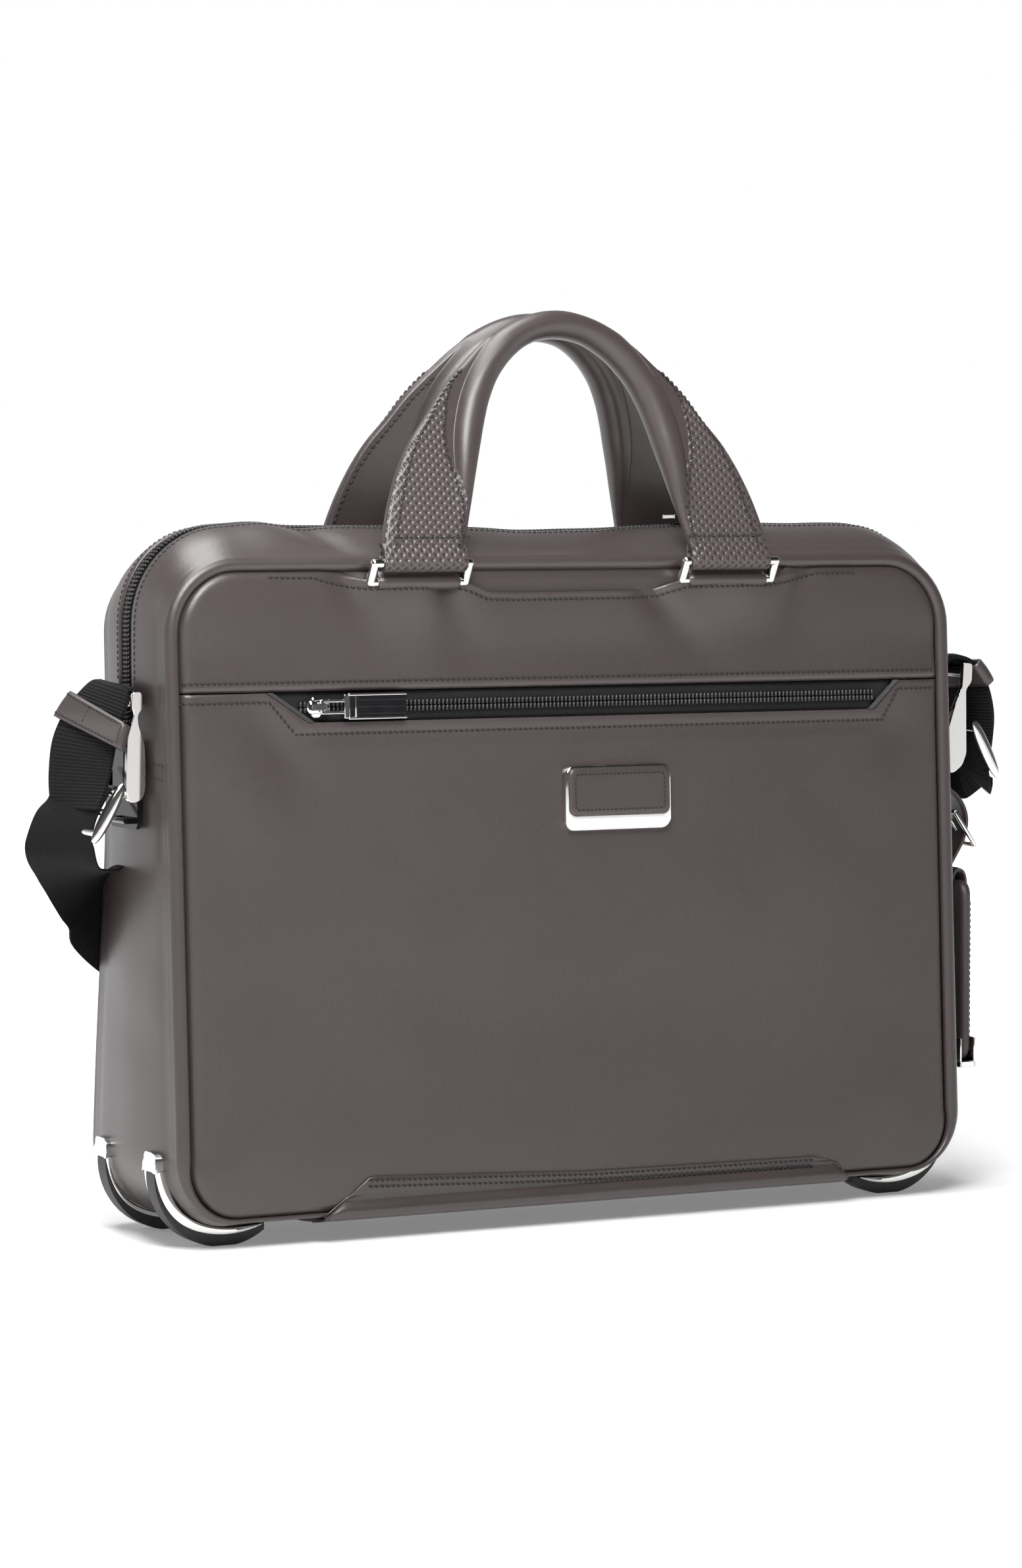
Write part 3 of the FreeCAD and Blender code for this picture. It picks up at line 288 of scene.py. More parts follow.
paper()
floor_mesh.materials.append(MATERIALS["paper"])
leather("leather")
leather("leather_dark", (0.03, 0.023, 0.0235), (0.042, 0.033, 0.0335), 0.5)
embossed("embossed_leather", 0.0042, 0.0005)
thread()
polished("nickel", (0.64, 0.63, 0.615), (0.74, 0.73, 0.715))
polished("dark_nickel", (0.035, 0.034, 0.034), (0.06, 0.058, 0.057))
woven("webbing", (0.002, 0.002, 0.0022), (0.013, 0.0125, 0.013), 1.5, 1.1, 0.0005)
woven("webbing_fine", (0.0025, 0.0025, 0.0027), (0.012, 0.0115, 0.012), 1.0, 1.0, 0.0003)
cloth("zip_tape", (0.006, 0.006, 0.007), (0.02, 0.019, 0.02), 900.0)
cloth("lining", (0.02, 0.02, 0.024), (0.05, 0.05, 0.056), 500.0)
moulded("coil", (0.008, 0.008, 0.009), (0.028, 0.027, 0.028), 0.35)
moulded("rubber", (0.008, 0.008, 0.009), (0.026, 0.025, 0.026), 0.55)
moulded("gloss", (0.004, 0.004, 0.005), (0.012, 0.012, 0.013), 0.12)
moulded("board", (0.04, 0.04, 0.04), (0.07, 0.07, 0.07), 0.7)
SLOT_MATERIAL = {
    "smooth_leather": "leather", "embossed_leather": "embossed_leather", "plate_leather": "leather_dark",
    "zip_tape": "zip_tape", "zip_coil": "coil", "polished_metal": "nickel", "black_rubber": "rubber",
    "black_plastic": "gloss", "webbing": "webbing", "lining": "lining", "stiffener": "board"}
for part in frame["record"]["subparts"]:
    cad_mesh = NODES[part["node"]].data
    cad_mesh.materials.clear()
    cad_mesh.materials.append(MATERIALS[SLOT_MATERIAL[part["material_slot"]]])

for anchor in ("left_strap_anchor", "right_strap_anchor"):
    NODES[anchor].data.materials[0] = MATERIALS["dark_nickel"]

# ------------------------------------------------------------------ mesh helpers
SLOT_OF = {material: slot for slot, material in SLOT_MATERIAL.items()}
SLOT_OF.update(thread="smooth_leather", webbing_fine="webbing")


def piece(name, points, faces, material, body=None, stands_for=(), thick=0.0, uv=None, sharp=0, bevel=0.0):
    """One finished object from millimetre points; thick adds a second side that far behind the faces."""
    mesh = bpy.data.meshes.new(name)
    mesh.from_pydata([Vector(p) * 0.001 for p in points], [], faces)
    mesh.validate()
    if uv is not None:
        layer = mesh.uv_layers.new(name="UVMap")
        for loop in mesh.loops:
            layer.data[loop.index].uv = uv[loop.vertex_index]
    mesh.polygons.foreach_set("use_smooth", [True] * len(mesh.polygons))
    if sharp:
        mesh.set_sharp_from_angle(angle=math.radians(sharp))
    mesh.materials.append(MATERIALS[material])
    obj = bpy.data.objects.new(name, mesh)
    bpy.context.scene.collection.objects.link(obj)
    if thick:
        solid = obj.modifiers.new("thickness", "SOLIDIFY")
        solid.thickness, solid.offset = thick * 0.001, -1
        solid.use_even_offset = False
    if bevel:
        edges = obj.modifiers.new("bevel", "BEVEL")
        edges.width, edges.segments, edges.limit_method = bevel * 0.001, 3, "ANGLE"
    if stands_for:
        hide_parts(*stands_for)
    if body:
        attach(obj, body)
    return obj


def facing_out(obj):
    """Turn the faces of closed shells outward."""
    shell = bmesh.new()
    shell.from_mesh(obj.data)
    bmesh.ops.recalc_face_normals(shell, faces=shell.faces)
    shell.to_mesh(obj.data)
    shell.free()
    return obj


def grid_faces(rows, columns, close_rows=False, close_columns=False, keep=None):
    """Quads of a rows x columns grid; keep(row, column) may leave some out."""
    faces = []
    for i in range(rows if close_rows else rows - 1):
        for j in range(columns if close_columns else columns - 1):
            if keep is None or keep(i, j):
                a, b = i, (i + 1) % rows
                c, d = j, (j + 1) % columns
                faces.append((a * columns + c, a * columns + d, b * columns + d, b * columns + c))
    return faces


def tube_faces(rings, count, start=0):
    """Faces of a tube through rings of count points each, from point start on, with both ends closed."""
    faces = grid_faces(rings, count, close_columns=True)
    faces += [tuple(reversed(range(count))), tuple((rings - 1) * count + k for k in range(count))]
    return [tuple(start + v for v in f) for f in faces]


def slab_faces(count):
    """Faces of a slab between two outlines of count points each."""
    faces = [tuple(range(count)), tuple(count + k for k in reversed(range(count)))]
    return faces + [(k, count + k, count + (k + 1) % count, (k + 1) % count) for k in range(count)]


def arc(radius, degrees):
    """Points round a centre at each of the angles."""
    return [(radius * math.cos(math.radians(a)), radius * math.sin(math.radians(a))) for a in degrees]


def waves(point, size, seed=0.0):
    """Slow, repeatable unevenness from -1 to 1; size is its wavelength."""
    return noise.noise(Vector((point[0] / size + seed, point[1] / size - seed, point[2] / size + 3 * seed)))


def dip(value, centre, width):
    return math.exp(-((value - centre) / width) ** 2)


def interpolate(x, knots):
    """Straight lines between (x, value) knots."""
    for (xa, a), (xb, b) in zip(knots, knots[1:]):
        if x <= xb:
            return a + (b - a) * max(0.0, (x - xa)) / (xb - xa)
    return knots[-1][1]


def spread(points, spacing):
    """Points of a polyline again at even spacing, each with the direction there."""
    lengths = [0.0]
    for a, b in zip(points, points[1:]):
        lengths.append(lengths[-1] + (b - a).length)
    count = max(2, round(lengths[-1] / spacing))
    placed, k = [], 0
    for i in range(count + 1):
        goal = lengths[-1] * i / count
        while k < len(points) - 2 and lengths[k + 1] < goal:
            k += 1
        share = (goal - lengths[k]) / max(1e-9, lengths[k + 1] - lengths[k])
        placed.append((points[k].lerp(points[k + 1], share), (points[k + 1] - points[k]).normalized()))
    return placed


STITCHES = {}


def stitch(group, points, normal, spacing=2.7, radius=0.5, slant=0.3):
    """A row of sewn threads along a polyline; normal is a vector or normal(point)."""
    points_so_far, faces = STITCHES.setdefault(group, ([], []))
    for spot, along in spread([Vector(p) for p in points], spacing)[:-1]:
        out = Vector(normal(spot) if callable(normal) else normal).normalized()
        side = along.cross(out).normalized()
        along = (along + side * slant).normalized()
        side = along.cross(out).normalized()
        half = spacing * 0.40
        start = len(points_so_far)
        for step, size, rise in ((-1, 0.35, -0.35), (-0.55, 1, 0.1), (0.55, 1, 0.1), (1, 0.35, -0.35)):
            for k in range(6):
                turn = math.pi * k / 3
                points_so_far.append(spot + along * (step * half) + side * (math.cos(turn) * radius * size)
                                     + out * (math.sin(turn) * radius * size * 0.8 + rise * radius))
        faces += tube_faces(4, 6, start)


# ------------------------------------------------------------------ shape of the case
LEAN = math.atan(15 / 290)
SIN, COS = math.sin(LEAN), math.cos(LEAN)
FRONT_OUT = Vector((0, -COS, SIN))            # outward normal of the front face


def face_point(x, out, z, side=-1):
    """World point over the front (side -1) or rear face: x, height out of the face, way up it."""
    y = -49 - out * COS + z * SIN
    return Vector((x, y if side < 0 else -y, 12 + out * SIN + z * COS))


def rounded(half, low, high, low_r, high_r, counts):
    """Closed rounded rectangle from the bottom's middle to the right: (x, z, normal x, normal z)."""
    bottom, sides, top, turns = counts
    ring = []

    def line(x0, z0, x1, z1, steps, nx, nz):
        for k in range(steps):
            ring.append((x0 + (x1 - x0) * k / steps, z0 + (z1 - z0) * k / steps, nx, nz))

    def corner(cx, cz, r, start):
        for k in range(turns):
            turn = math.radians(start + 90 * k / turns)
            ring.append((cx + r * math.cos(turn), cz + r * math.sin(turn), math.cos(turn), math.sin(turn)))

    line(0, low, half - low_r, low, bottom, 0, -1)
    corner(half - low_r, low + low_r, low_r, -90)
    line(half, low + low_r, half, high - high_r, sides, 1, 0)
    corner(half - high_r, high - high_r, high_r, 0)
    line(half - high_r, high, high_r - half, high, top, 0, 1)
    corner(high_r - half, high - high_r, high_r, 90)
    line(-half, high - high_r, -half, low + low_r, sides, -1, 0)
    corner(low_r - half, low + low_r, low_r, 180)
    line(low_r - half, low, 0, low, bottom, 0, -1)
    return ring


HALF, HIGH, LOW_R, HIGH_R = 200, 290, 28, 34     # outline of the front face
COUNTS = (30, 60, 90, 14)
EDGE = rounded(HALF, 0, HIGH, LOW_R, HIGH_R, COUNTS)
MIDDLE = rounded(203.5, 10, 315.6, 32, 42, COUNTS)
AROUND = len(EDGE)
ZIP_HALF, ZIP_END, FOLD_Z, SIDE_SEAM = 7.0, 212.0, 242.9, 211.0


def soften(p, nx, nz):
    """Unevenness of the gusset's leather: slack between seams, a low crown, hollows by the clips."""
    amount = 1.0 * waves(p, 70, 2.0) + 0.35 * waves(p, 24, 5.0)
    if nz > 0.5:
        amount -= 2.4 * dip(p.x, -4, 42) + 2.6 * dip(p.x + 0.6 * (p.y + 20), -118, 9) * dip(p.y, -26, 20)
        amount += 1.6 * dip(p.x, -142, 16)
    if abs(nx) > 0.5:
        amount -= 2.2 * dip(p.z, 168, 22) * dip(p.y, 0, 30)
        amount -= 0.8 * dip(p.z, SIDE_SEAM, 1.3)
    return amount


def guard_bulge(p):
    """Leather swells out round the skid guards at the bottom corners."""
    if p.z > 60:
        return 0.0
    beside = dip(abs(p.y), 27.5, 13)
    return 3.2 * beside * dip(abs(p.x), 174, 26) * dip(p.z, 8, 16)


def pulled(p):
    """The soft rear edge is drawn in a little between the base and the top corners."""
    inside = min(1.0, max(0.0, (p.y - 2) / 36)) * min(1.0, max(0.0, (abs(p.x) - 130) / 66))
    return p - Vector((math.copysign(4.0, p.x) * inside * dip(p.z, 190, 95), 0, 0))


def gusset(i, t, deep=0.0):
    """Point on the gusset at outline sample i and depth t from -1 (front) to 1 (rear)."""
    ex, ez, enx, enz = EDGE[i % AROUND]
    mx, mz, mnx, mnz = MIDDLE[i % AROUND]
    near, far = face_point(ex, 0, ez), face_point(ex, 0, ez, 1)
    p = near * ((t * t - t) / 2) + Vector((mx, 0, mz)) * (1 - t * t) + far * ((t * t + t) / 2)
    fade = max(0.0, 1 - t ** 8)
    amount = soften(p, mnx, mnz) * fade - deep
    reach = (1 - abs(t)) * 45
    amount -= 0.35 * dip(reach, 8.5, 2.5)
    amount += guard_bulge(p)
    return pulled(p + Vector((mnx, 0, mnz)) * amount)


LIP = [(-6.3, -1.6), (-6.1, 0.0), (-5.4, 1.3), (-4.1, 2.2), (-2.4, 2.3), (-0.8, 1.5), (0.4, 0.2)]
TURNS = [-0.965, -0.92, -0.87, -0.82, -0.76, -0.69, -0.61, -0.52, -0.43]


def tuck(normal_z):
    """The rolled edge is tucked under along the base: its width there as a share of the full width."""
    return 1 - 0.7 * max(0.0, -normal_z)


def gusset_column(i):
    """Points across the gusset at one outline sample, from the front seam to the rear seam."""
    ex, ez, enx, enz = EDGE[i % AROUND]
    depth = abs(face_point(ex, 0, ez).y)
    narrow = tuck(enz)
    column = []
    for side in (-1, 1):
        lip = [pulled(face_point(ex + enx * d * narrow, out * (0.4 + 0.6 * narrow),
                                 ez + enz * d * narrow, side)) for d, out in LIP]
        column.append(lip if side < 0 else lip[::-1])
    inner = TURNS + [-11.5 / depth, -9 / depth, -ZIP_HALF / depth]
    inner += [0.0] + [-t for t in reversed(inner)]
    return column[0] + [gusset(i, t) for t in inner] + column[1]


ROWS = len(gusset_column(0))
FRONT_EDGE = len(LIP) + len(TURNS) + 2        # row of the front zip edge
REAR_EDGE = ROWS - 1 - FRONT_EDGE


def height_of(i):
    return MIDDLE[i % AROUND][1]


def in_zip(i, j):
    return height_of(i) > ZIP_END and FRONT_EDGE <= j < REAR_EDGE


all_columns = [gusset_column(i) for i in range(AROUND)]
flat_points = [p for column in all_columns for p in column]


def keep_front(i, j):
    return not in_zip(i, j) and (height_of(i) <= ZIP_END or j < FRONT_EDGE)


def keep_rear(i, j):
    return height_of(i) > ZIP_END and j >= REAR_EDGE


def gusset_piece(name, keep, stands_for):
    faces = grid_faces(AROUND, ROWS, close_rows=True, keep=keep)
    used = sorted({v for f in faces for v in f})
    index = {v: k for k, v in enumerate(used)}
    return piece(name, [flat_points[v] for v in used], [tuple(index[v] for v in f) for f in faces],
                 "leather", stands_for=stands_for, thick=2.0)


front_leather = gusset_piece("gusset_leather", keep_front,
                             ["lower_gusset", "front_top_gusset", "front_welt", "front_top_welt"])
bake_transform(front_leather)
rear_leather = gusset_piece("rear_top_leather", keep_rear, ["rear_top_gusset", "rear_welt"])
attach(rear_leather, "case")

# ------------------------------------------------------------------ face panels
INSET = 5.7
LOW_CORNER = []                  # the panel's outline round a lower corner, from the base up: (z, x)
for step in range(25):
    turn = math.radians(-90 + 90 * step / 24)
    reach = LOW_R - INSET * tuck(math.sin(turn))
    LOW_CORNER.append((LOW_R + reach * math.sin(turn), HALF - LOW_R + reach * math.cos(turn)))
PANEL_LOW = LOW_CORNER[0][0]


def edge_distance(x, z):
    """Distance from a face point to the outline of the panel, positive inside."""
    half, high, radius = HALF - INSET, HIGH - INSET, HIGH_R - INSET
    if z > HIGH / 2:
        dx, dz = abs(x) - (half - radius), z - (high - radius)
        if dx > 0 and dz > 0:
            return radius - math.hypot(dx, dz)
        return radius - max(dx, dz)
    dx, dz = abs(x) - (HALF - LOW_R), LOW_R - z
    if dx > 0 and dz > 0:
        return LOW_R - INSET * tuck(-dz / max(1e-6, math.hypot(dx, dz))) - math.hypot(dx, dz)
    return min(half - abs(x), z - PANEL_LOW)


def half_width(z):
    """Half the panel's width at a height, inside its rounded corners."""
    half, radius = HALF - INSET, HIGH_R - INSET
    if z < LOW_R:
        return interpolate(z, LOW_CORNER)
    if z > HIGH - INSET - radius:
        rise = z - (HIGH - INSET - radius)
        return half - radius + math.sqrt(max(0.0, radius ** 2 - rise ** 2))
    return half


SEWN, SEWN_DEPTH = 4.5, 2.8      # width and depth of the curve down to the seam at a panel's outline


def puffed(x, z, base, puff, seed):
    """Height of soft leather over foam: sewn down at its outline, slightly uneven inside."""
    e = max(0.0, edge_distance(x, z))
    height = base + puff * (1 - math.exp(-e / 14))
    height += (0.75 * waves((x, 0, z), 110, seed) + 0.22 * waves((x, 0, z), 36, seed + 4)) * min(1, e / 30)
    if e < SEWN:
        height -= SEWN_DEPTH * (1 - math.sqrt(max(0.0, 1 - ((SEWN - e) / SEWN) ** 2)))
    return height


SEAM = 231.0
ZIP_LOW = 217.4
WINDOW = [((-153.7, 230.85), (-133.6, ZIP_LOW)), ((171.5, 230.85), (156.8, ZIP_LOW))]


def window_x(z, end):
    (top_x, top_z), (low_x, low_z) = WINDOW[end]
    share = min(1.0, max(0.0, (z - low_z) / (top_z - low_z)))
    return low_x + (top_x - low_x) * share


def panel_out(x, z):
    """Height of the main front panel, with puckers below the left end of the pocket zip."""
    out = puffed(x, z, 1.0, 1.2, 7.0)
    out -= 0.45 * dip(z, 212.3, 1.4) * (1 if -140 < x < 160 else 0)
    out -= 1.6 * dip(x + 0.5 * (z - 205), -146, 13) * dip(z, 205, 22)
    out += 0.9 * dip(x + 0.4 * (z - 195), -172, 16) * dip(z, 195, 30)
    out -= 1.0 * dip(x, 168, 12) * dip(z, 208, 14)
    return out - 1.0 * dip(z, 70, 45) * dip(x, 40, 150)


def corner_rows(steps):
    """Heights from the base up the lower corners, close together at the base."""
    return [PANEL_LOW + (LOW_R - PANEL_LOW) * (1 - math.cos(math.pi / 2 * k / steps)) for k in range(steps)]


heights = (corner_rows(18) + [LOW_R + 184 * k / 46 for k in range(47)]
           + [213.5, 215, 216.2, 217.0, ZIP_LOW, 219.5, 222, 224.5, 227, 229.2, 230.6])
BESIDE_LEFT, IN_WINDOW, BESIDE_RIGHT = 16, 76, 14      # columns left of the pocket zip, along it, right of it
panel_points = []
for z in heights:
    wide = half_width(z)
    xl, xr = window_x(z, 0), window_x(z, 1)
    row = [-wide + (xl + wide) * k / BESIDE_LEFT for k in range(BESIDE_LEFT)]
    row += [xl + (xr - xl) * k / IN_WINDOW for k in range(IN_WINDOW)]
    row += [xr + (wide - xr) * k / BESIDE_RIGHT for k in range(BESIDE_RIGHT + 1)]
    panel_points += [face_point(x, panel_out(x, z), z) for x in row]
top_row = heights.index(ZIP_LOW)


def beside_window(i, j):
    return i < top_row or not BESIDE_LEFT <= j < BESIDE_LEFT + IN_WINDOW


piece("front_panel", panel_points, grid_faces(len(heights), len(row), keep=beside_window), "leather", "case",
      ["front_wall"], thick=3.0)

# Yoke with a notched top edge, over the plain leather that carries the handle rings.
NOTCH = [(-196, 284.3), (-150, 284.3), (-130, 284.1), (-122, 281.9), (-110, 279.6), (-102, 278.9),
         (-57, 278.6), (-51, 276.6), (-44, 273.8), (-30, 273.4), (30, 273.8), (44, 274.4), (52, 276.8),
         (58, 278.2), (102, 278.7), (112, 280.2), (121, 282.4), (128, 284.1), (150, 284.3), (196, 284.3)]


def yoke_out(x, z):
    """The yoke stands proud under the handle rings and dents beside them."""
    out = puffed(x, z, 2.0, 1.3, 11.0)
    for cx, slope, deep in ((-113, 0.42, 2.2), (-66, 0.32, 5.0), (37, 0.75, 4.4), (119, -0.42, 2.0)):
        out -= deep * dip(x, cx + slope * (277 - z), 7 + (277 - z) * 0.22) * math.exp(-max(0, 280 - z) / 20)
    for cx in (-79, 79):
        out += 3.9 * dip(x, cx, 22) * dip(z, 280, 17)
    out -= 1.1 * dip(z, 247, 13) * (0.6 + 0.4 * math.cos(x / 37.0))
    if z < SEAM + 1.6:
        out -= 0.8 * (SEAM + 1.6 - z)
    return out


yoke_points = []
COLUMNS = 150
YOKE_ROWS = 40
for i in range(YOKE_ROWS):
    share = i / (YOKE_ROWS - 1)
    for j in range(COLUMNS):
        u = -1 + 2 * j / (COLUMNS - 1)
        z_top = interpolate(u * 194, NOTCH)
        z = SEAM + 0.1 + (z_top - SEAM - 0.1) * share
        x = u * half_width(min(z, 284.2))
        yoke_points.append(face_point(x, yoke_out(x, z) + (0.25 if share > 0.97 else 0), z))
piece("yoke_leather", yoke_points, grid_faces(YOKE_ROWS, COLUMNS), "leather", "mouth_flap", ["front_yoke"],
      thick=1.7)


def shelf_out(x, z):
    """Height of the plain leather under the yoke's notch, which dips at the top seam."""
    return 0.75 * waves((x, 0, z), 60, 9.0) * 0.5 + 0.3 - (0.9 if z > 283 else 0)


shelf_z = [SEAM + 0.2, 245, 255, 262, 266, 270, 273, 276, 279, 281.5, 283.2, 284.3]
shelf_points = [face_point(u / 60 * half_width(z) * 0.985, shelf_out(u / 60 * 194, z), z)
                for z in shelf_z for u in range(-60, 61)]
piece("top_panel_leather", shelf_points, grid_faces(len(shelf_z), 121), "leather", "mouth_flap",
      ["front_top_wall"], thick=2.6)


def rear_row(wide, z, out_of):
    """One row of a rear panel, from its right edge to its left."""
    return [pulled(face_point(x, out_of(x, z), z, 1)) for x in (wide * (1 - k / 45) for k in range(91))]


def rear_out(x, z):
    return puffed(x, z, 0.6, 0.8, 17.0)


# Rear panel with its flat sleeve.
rear_z = (corner_rows(16) + [LOW_R + 228 * k / 50 for k in range(50)]
          + [256 + 28.3 * math.sin(math.pi / 2 * k / 12) for k in range(13)])
rear_points = [p for z in rear_z for p in rear_row(half_width(z), z, rear_out)]
piece("rear_panel", rear_points, grid_faces(len(rear_z), 91), "leather", "case", ["rear_wall"], thick=3.0)
sleeve_z = [34 + 180 * k / 40 for k in range(41)]


def sleeve_out(x, z):
    """Height of the sleeve, which stands open a little at its top edge."""
    lift = 1.0 * dip(z, 214, 14) * (1 - (x / 190) ** 2)
    return 2.0 + lift + 0.4 * waves((x, 0, z), 90, 21.0) - 1.2 * dip(abs(x), 192, 3)


sleeve_points = [p for z in sleeve_z for p in rear_row(192, z, sleeve_out)]
piece("rear_sleeve_leather", sleeve_points, grid_faces(41, 91), "leather", "case", ["rear_sleeve"], thick=1.4)


# ------------------------------------------------------------------ rows of stitches on the panels
def panel_row(points, group, out_of, spacing=2.7):
    """Stitches through face points (x, z) at the panel's own height."""
    dense = []
    for (xa, za), (xb, zb) in zip(points, points[1:]):
        steps = max(1, int(math.hypot(xb - xa, zb - za) / 4))
        dense += [(xa + (xb - xa) * k / steps, za + (zb - za) * k / steps) for k in range(steps)]
    dense.append(points[-1])
    stitch(group, [face_point(x, out_of(x, z) + 0.2, z) for x, z in dense], FRONT_OUT, spacing)


panel_row([(-192, 235.2), (192, 235.2)], "mouth_flap", yoke_out)
window_edge = [(-194, 226.6), (-152, 226.6), (-139.5, 212.3), (162.5, 212.3), (171, 226.6), (194, 226.6)]
panel_row(window_edge, "case", panel_out)
notch_row = [(x, z - 3.2) for x, z in NOTCH if abs(x) < 190]
panel_row(notch_row, "mouth_flap", yoke_out)
TOP_RANGE = [i for i in range(AROUND) if height_of(i) > ZIP_END + 1]      # samples along the main zip


def zip_point(i, y, out=0.0):
    """Point over the gusset at outline sample i and depth y."""
    ex, ez = EDGE[i % AROUND][:2]
    return gusset(i, y / abs(face_point(ex, 0, ez).y), -out)


def gusset_out(p):
    """Rough outward direction of the gusset at a point."""
    if abs(p.x) < 160 and p.z > 290:
        return Vector((0, 0, 1))
    return Vector((p.x, 0, (p.z - 150) * 1.1)).normalized()


def sew_gusset(run, y, above):
    """One unbroken row, on the body that it lies on."""
    if len(run) > 1:
        stitch("mouth_flap" if above and y < 0 else "case", run, gusset_out)


def gusset_row(y, samples):
    """Stitches along the gusset at a depth; below the fold they belong to the case."""
    for above in (True, False):
        run = []
        for i in samples:
            p = zip_point(i, y)
            if (p.z > FOLD_Z) == above:
                run.append(p)
            else:
                sew_gusset(run, y, above)
                run = []
        sew_gusset(run, y, above)


gusset_row(-9.8, TOP_RANGE)
gusset_row(9.8, TOP_RANGE)
SIDE_INDEX = {side: min((i for i in range(AROUND) if MIDDLE[i][0] * side > 150),
                        key=lambda i: abs(height_of(i) - SIDE_SEAM)) for side in (-1, 1)}
for side, i in SIDE_INDEX.items():
    for lift in (-3.0, 3.0):
        row = [gusset(i, t / 20) + Vector((0, 0, lift)) for t in range(-17, 18)]
        row = [p for p in row if lift < 0 or abs(p.y) > 9.5]
        for part_row in ([p for p in row if p.y < 0], [p for p in row if p.y >= 0]):
            stitch("case", part_row, (side, 0, 0))



# ------------------------------------------------------------------ main zip over the crown
def zip_tape(side):
    """Tape from under the leather's edge to the teeth."""
    profile = [(8.4, -1.9), (6.5, -1.7), (4.0, -1.6), (2.0, -1.55), (0.25, -1.5)][::-side]
    points = [zip_point(i, side * y, out) for i in TOP_RANGE for y, out in profile]
    return points, grid_faces(len(TOP_RANGE), len(profile))


def zip_teeth(side, half=1.15):
    """Coil turns as small rounded bars across the edge of the tape."""
    points, faces = [], []
    line = [zip_point(i, side * 1.35, -0.9) for i in TOP_RANGE]
    for spot, along in spread(line, 2.0):
        across = Vector((0, 1, 0))
        out = across.cross(along)
        if out.dot(Vector((spot.x, 0, spot.z - 150))) < 0:
            out = -out
        start = len(points)
        for step in (-1, 1):
            for a, b in ((-0.62, -0.6), (-0.62, 0.35), (0, 0.95), (0.62, 0.35), (0.62, -0.6)):
                points.append(spot + across * (step * half) + along * a + out * b)
        faces += tube_faces(2, 5, start)
    return points, faces


for side, name, nodes in ((-1, "front", (["front_zip_tape", "zip_ends"], ["front_zip_coil"])),
                          (1, "rear", (["rear_zip_tape"], ["rear_zip_coil"]))):
    tape = piece("main_zip_tape_" + name, *zip_tape(side), "zip_tape", stands_for=nodes[0], thick=0.6)
    coil = piece("main_zip_teeth_" + name, *zip_teeth(side), "coil", stands_for=nodes[1])
    for strip in (tape, coil):
        if side < 0:
            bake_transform(strip)
        else:
            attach(strip, "case")

# ------------------------------------------------------------------ pocket zip
ZIP_MID = ZIP_LOW + 6.7
TAPE_STEPS, TEETH, PITCH, FIRST_TOOTH = 80, 148, 2.0, -136.6
tape_rows = [ZIP_LOW + 0.1, ZIP_LOW + 2, ZIP_LOW + 4.2, ZIP_MID, ZIP_MID + 2.4, ZIP_MID + 4.6, 230.7]
tape_points = []
for z in tape_rows:
    xl, xr = window_x(z, 0), window_x(z, 1)
    for k in range(TAPE_STEPS + 1):
        x = xl + (xr - xl) * k / TAPE_STEPS
        sag = 0.25 * waves((x, 0, z), 45, 31.0) - 0.35
        tape_points.append(face_point(x, sag, z))
piece("pocket_tape", tape_points, grid_faces(len(tape_rows), TAPE_STEPS + 1), "zip_tape", "case",
      ["pocket_zip_tape"], thick=0.8)
tooth_points, tooth_faces = [], []
for row_z in (ZIP_MID - 1.35, ZIP_MID + 1.35):
    for k in range(TEETH):
        x = FIRST_TOOTH + PITCH * k
        start = len(tooth_points)
        for end in (-1.15, 1.15):
            for a, b in ((-0.7, -0.4), (-0.7, 0.9), (-0.25, 1.6), (0.25, 1.6), (0.7, 0.9), (0.7, -0.4)):
                tooth_points.append(face_point(x + a + end * 0.15, b, row_z + end))
        tooth_faces += tube_faces(2, 6, start)
piece("pocket_teeth", tooth_points, tooth_faces, "coil", "case", ["pocket_zip_coil"])

# ------------------------------------------------------------------ leather patch and slab under the base
PATCH_TOP = [(-132, -1.0), (-123, 5.2), (-113.6, 12.6), (-108.7, 16.6), (-50, 14.2), (3.8, 11.8), (70, 11.2),
             (120.3, 10.8), (131, 7.4), (138, -1.0)]
WRAP = [(1.0, 6.6), (2.6, 5.4), (4.0, 3.9), (4.65, 2.0), (4.1, 0.0), (2.2, -1.4), (0.0, -2.2), (-6, -3.0),
        (-12, -3.6)]      # height out of the face and way up it, round the rolled edge


def patch_point(x, share):
    """share runs 0..1 from the top edge to the roll, then along the wrap."""
    top = interpolate(x, PATCH_TOP)
    if share <= 1:
        z = top + (min(8.4, top) - top) * share
        out = panel_out(x, z) + 0.95 if z > 8.4 else 2.0
    else:
        out, z = WRAP[min(len(WRAP) - 1, int(round(share - 2)))]
        if z > top - 0.2:
            z, out = top - 0.2, out
    return face_point(x, out + 0.18 * waves((x, share * 9, 0), 30, 3.0), z)


patch_rows = [k / 5 for k in range(6)] + [2 + k for k in range(len(WRAP))]
patch_x = [-131 + 268 * k / 100 for k in range(101)]
patch_rows.reverse()
piece("base_patch_leather", [patch_point(x, share) for share in patch_rows for x in patch_x],
      grid_faces(len(patch_rows), len(patch_x)), "leather", "case", ["front_base_patch"], thick=0.9)
for drop in (1.6, 4.4):
    row = [(x, z - drop) for x, z in PATCH_TOP if -112 < x < 125]
    panel_row(row, "case", lambda x, z: panel_out(x, z) + 0.95)

# ------------------------------------------------------------------ handles
BAR = {-1: Vector((0, -42.669, 298.697)), 1: Vector((0, 42.669, 298.697))}
HANDLE_LEAN = math.radians(12.6)
REAR_SHIFT = 8


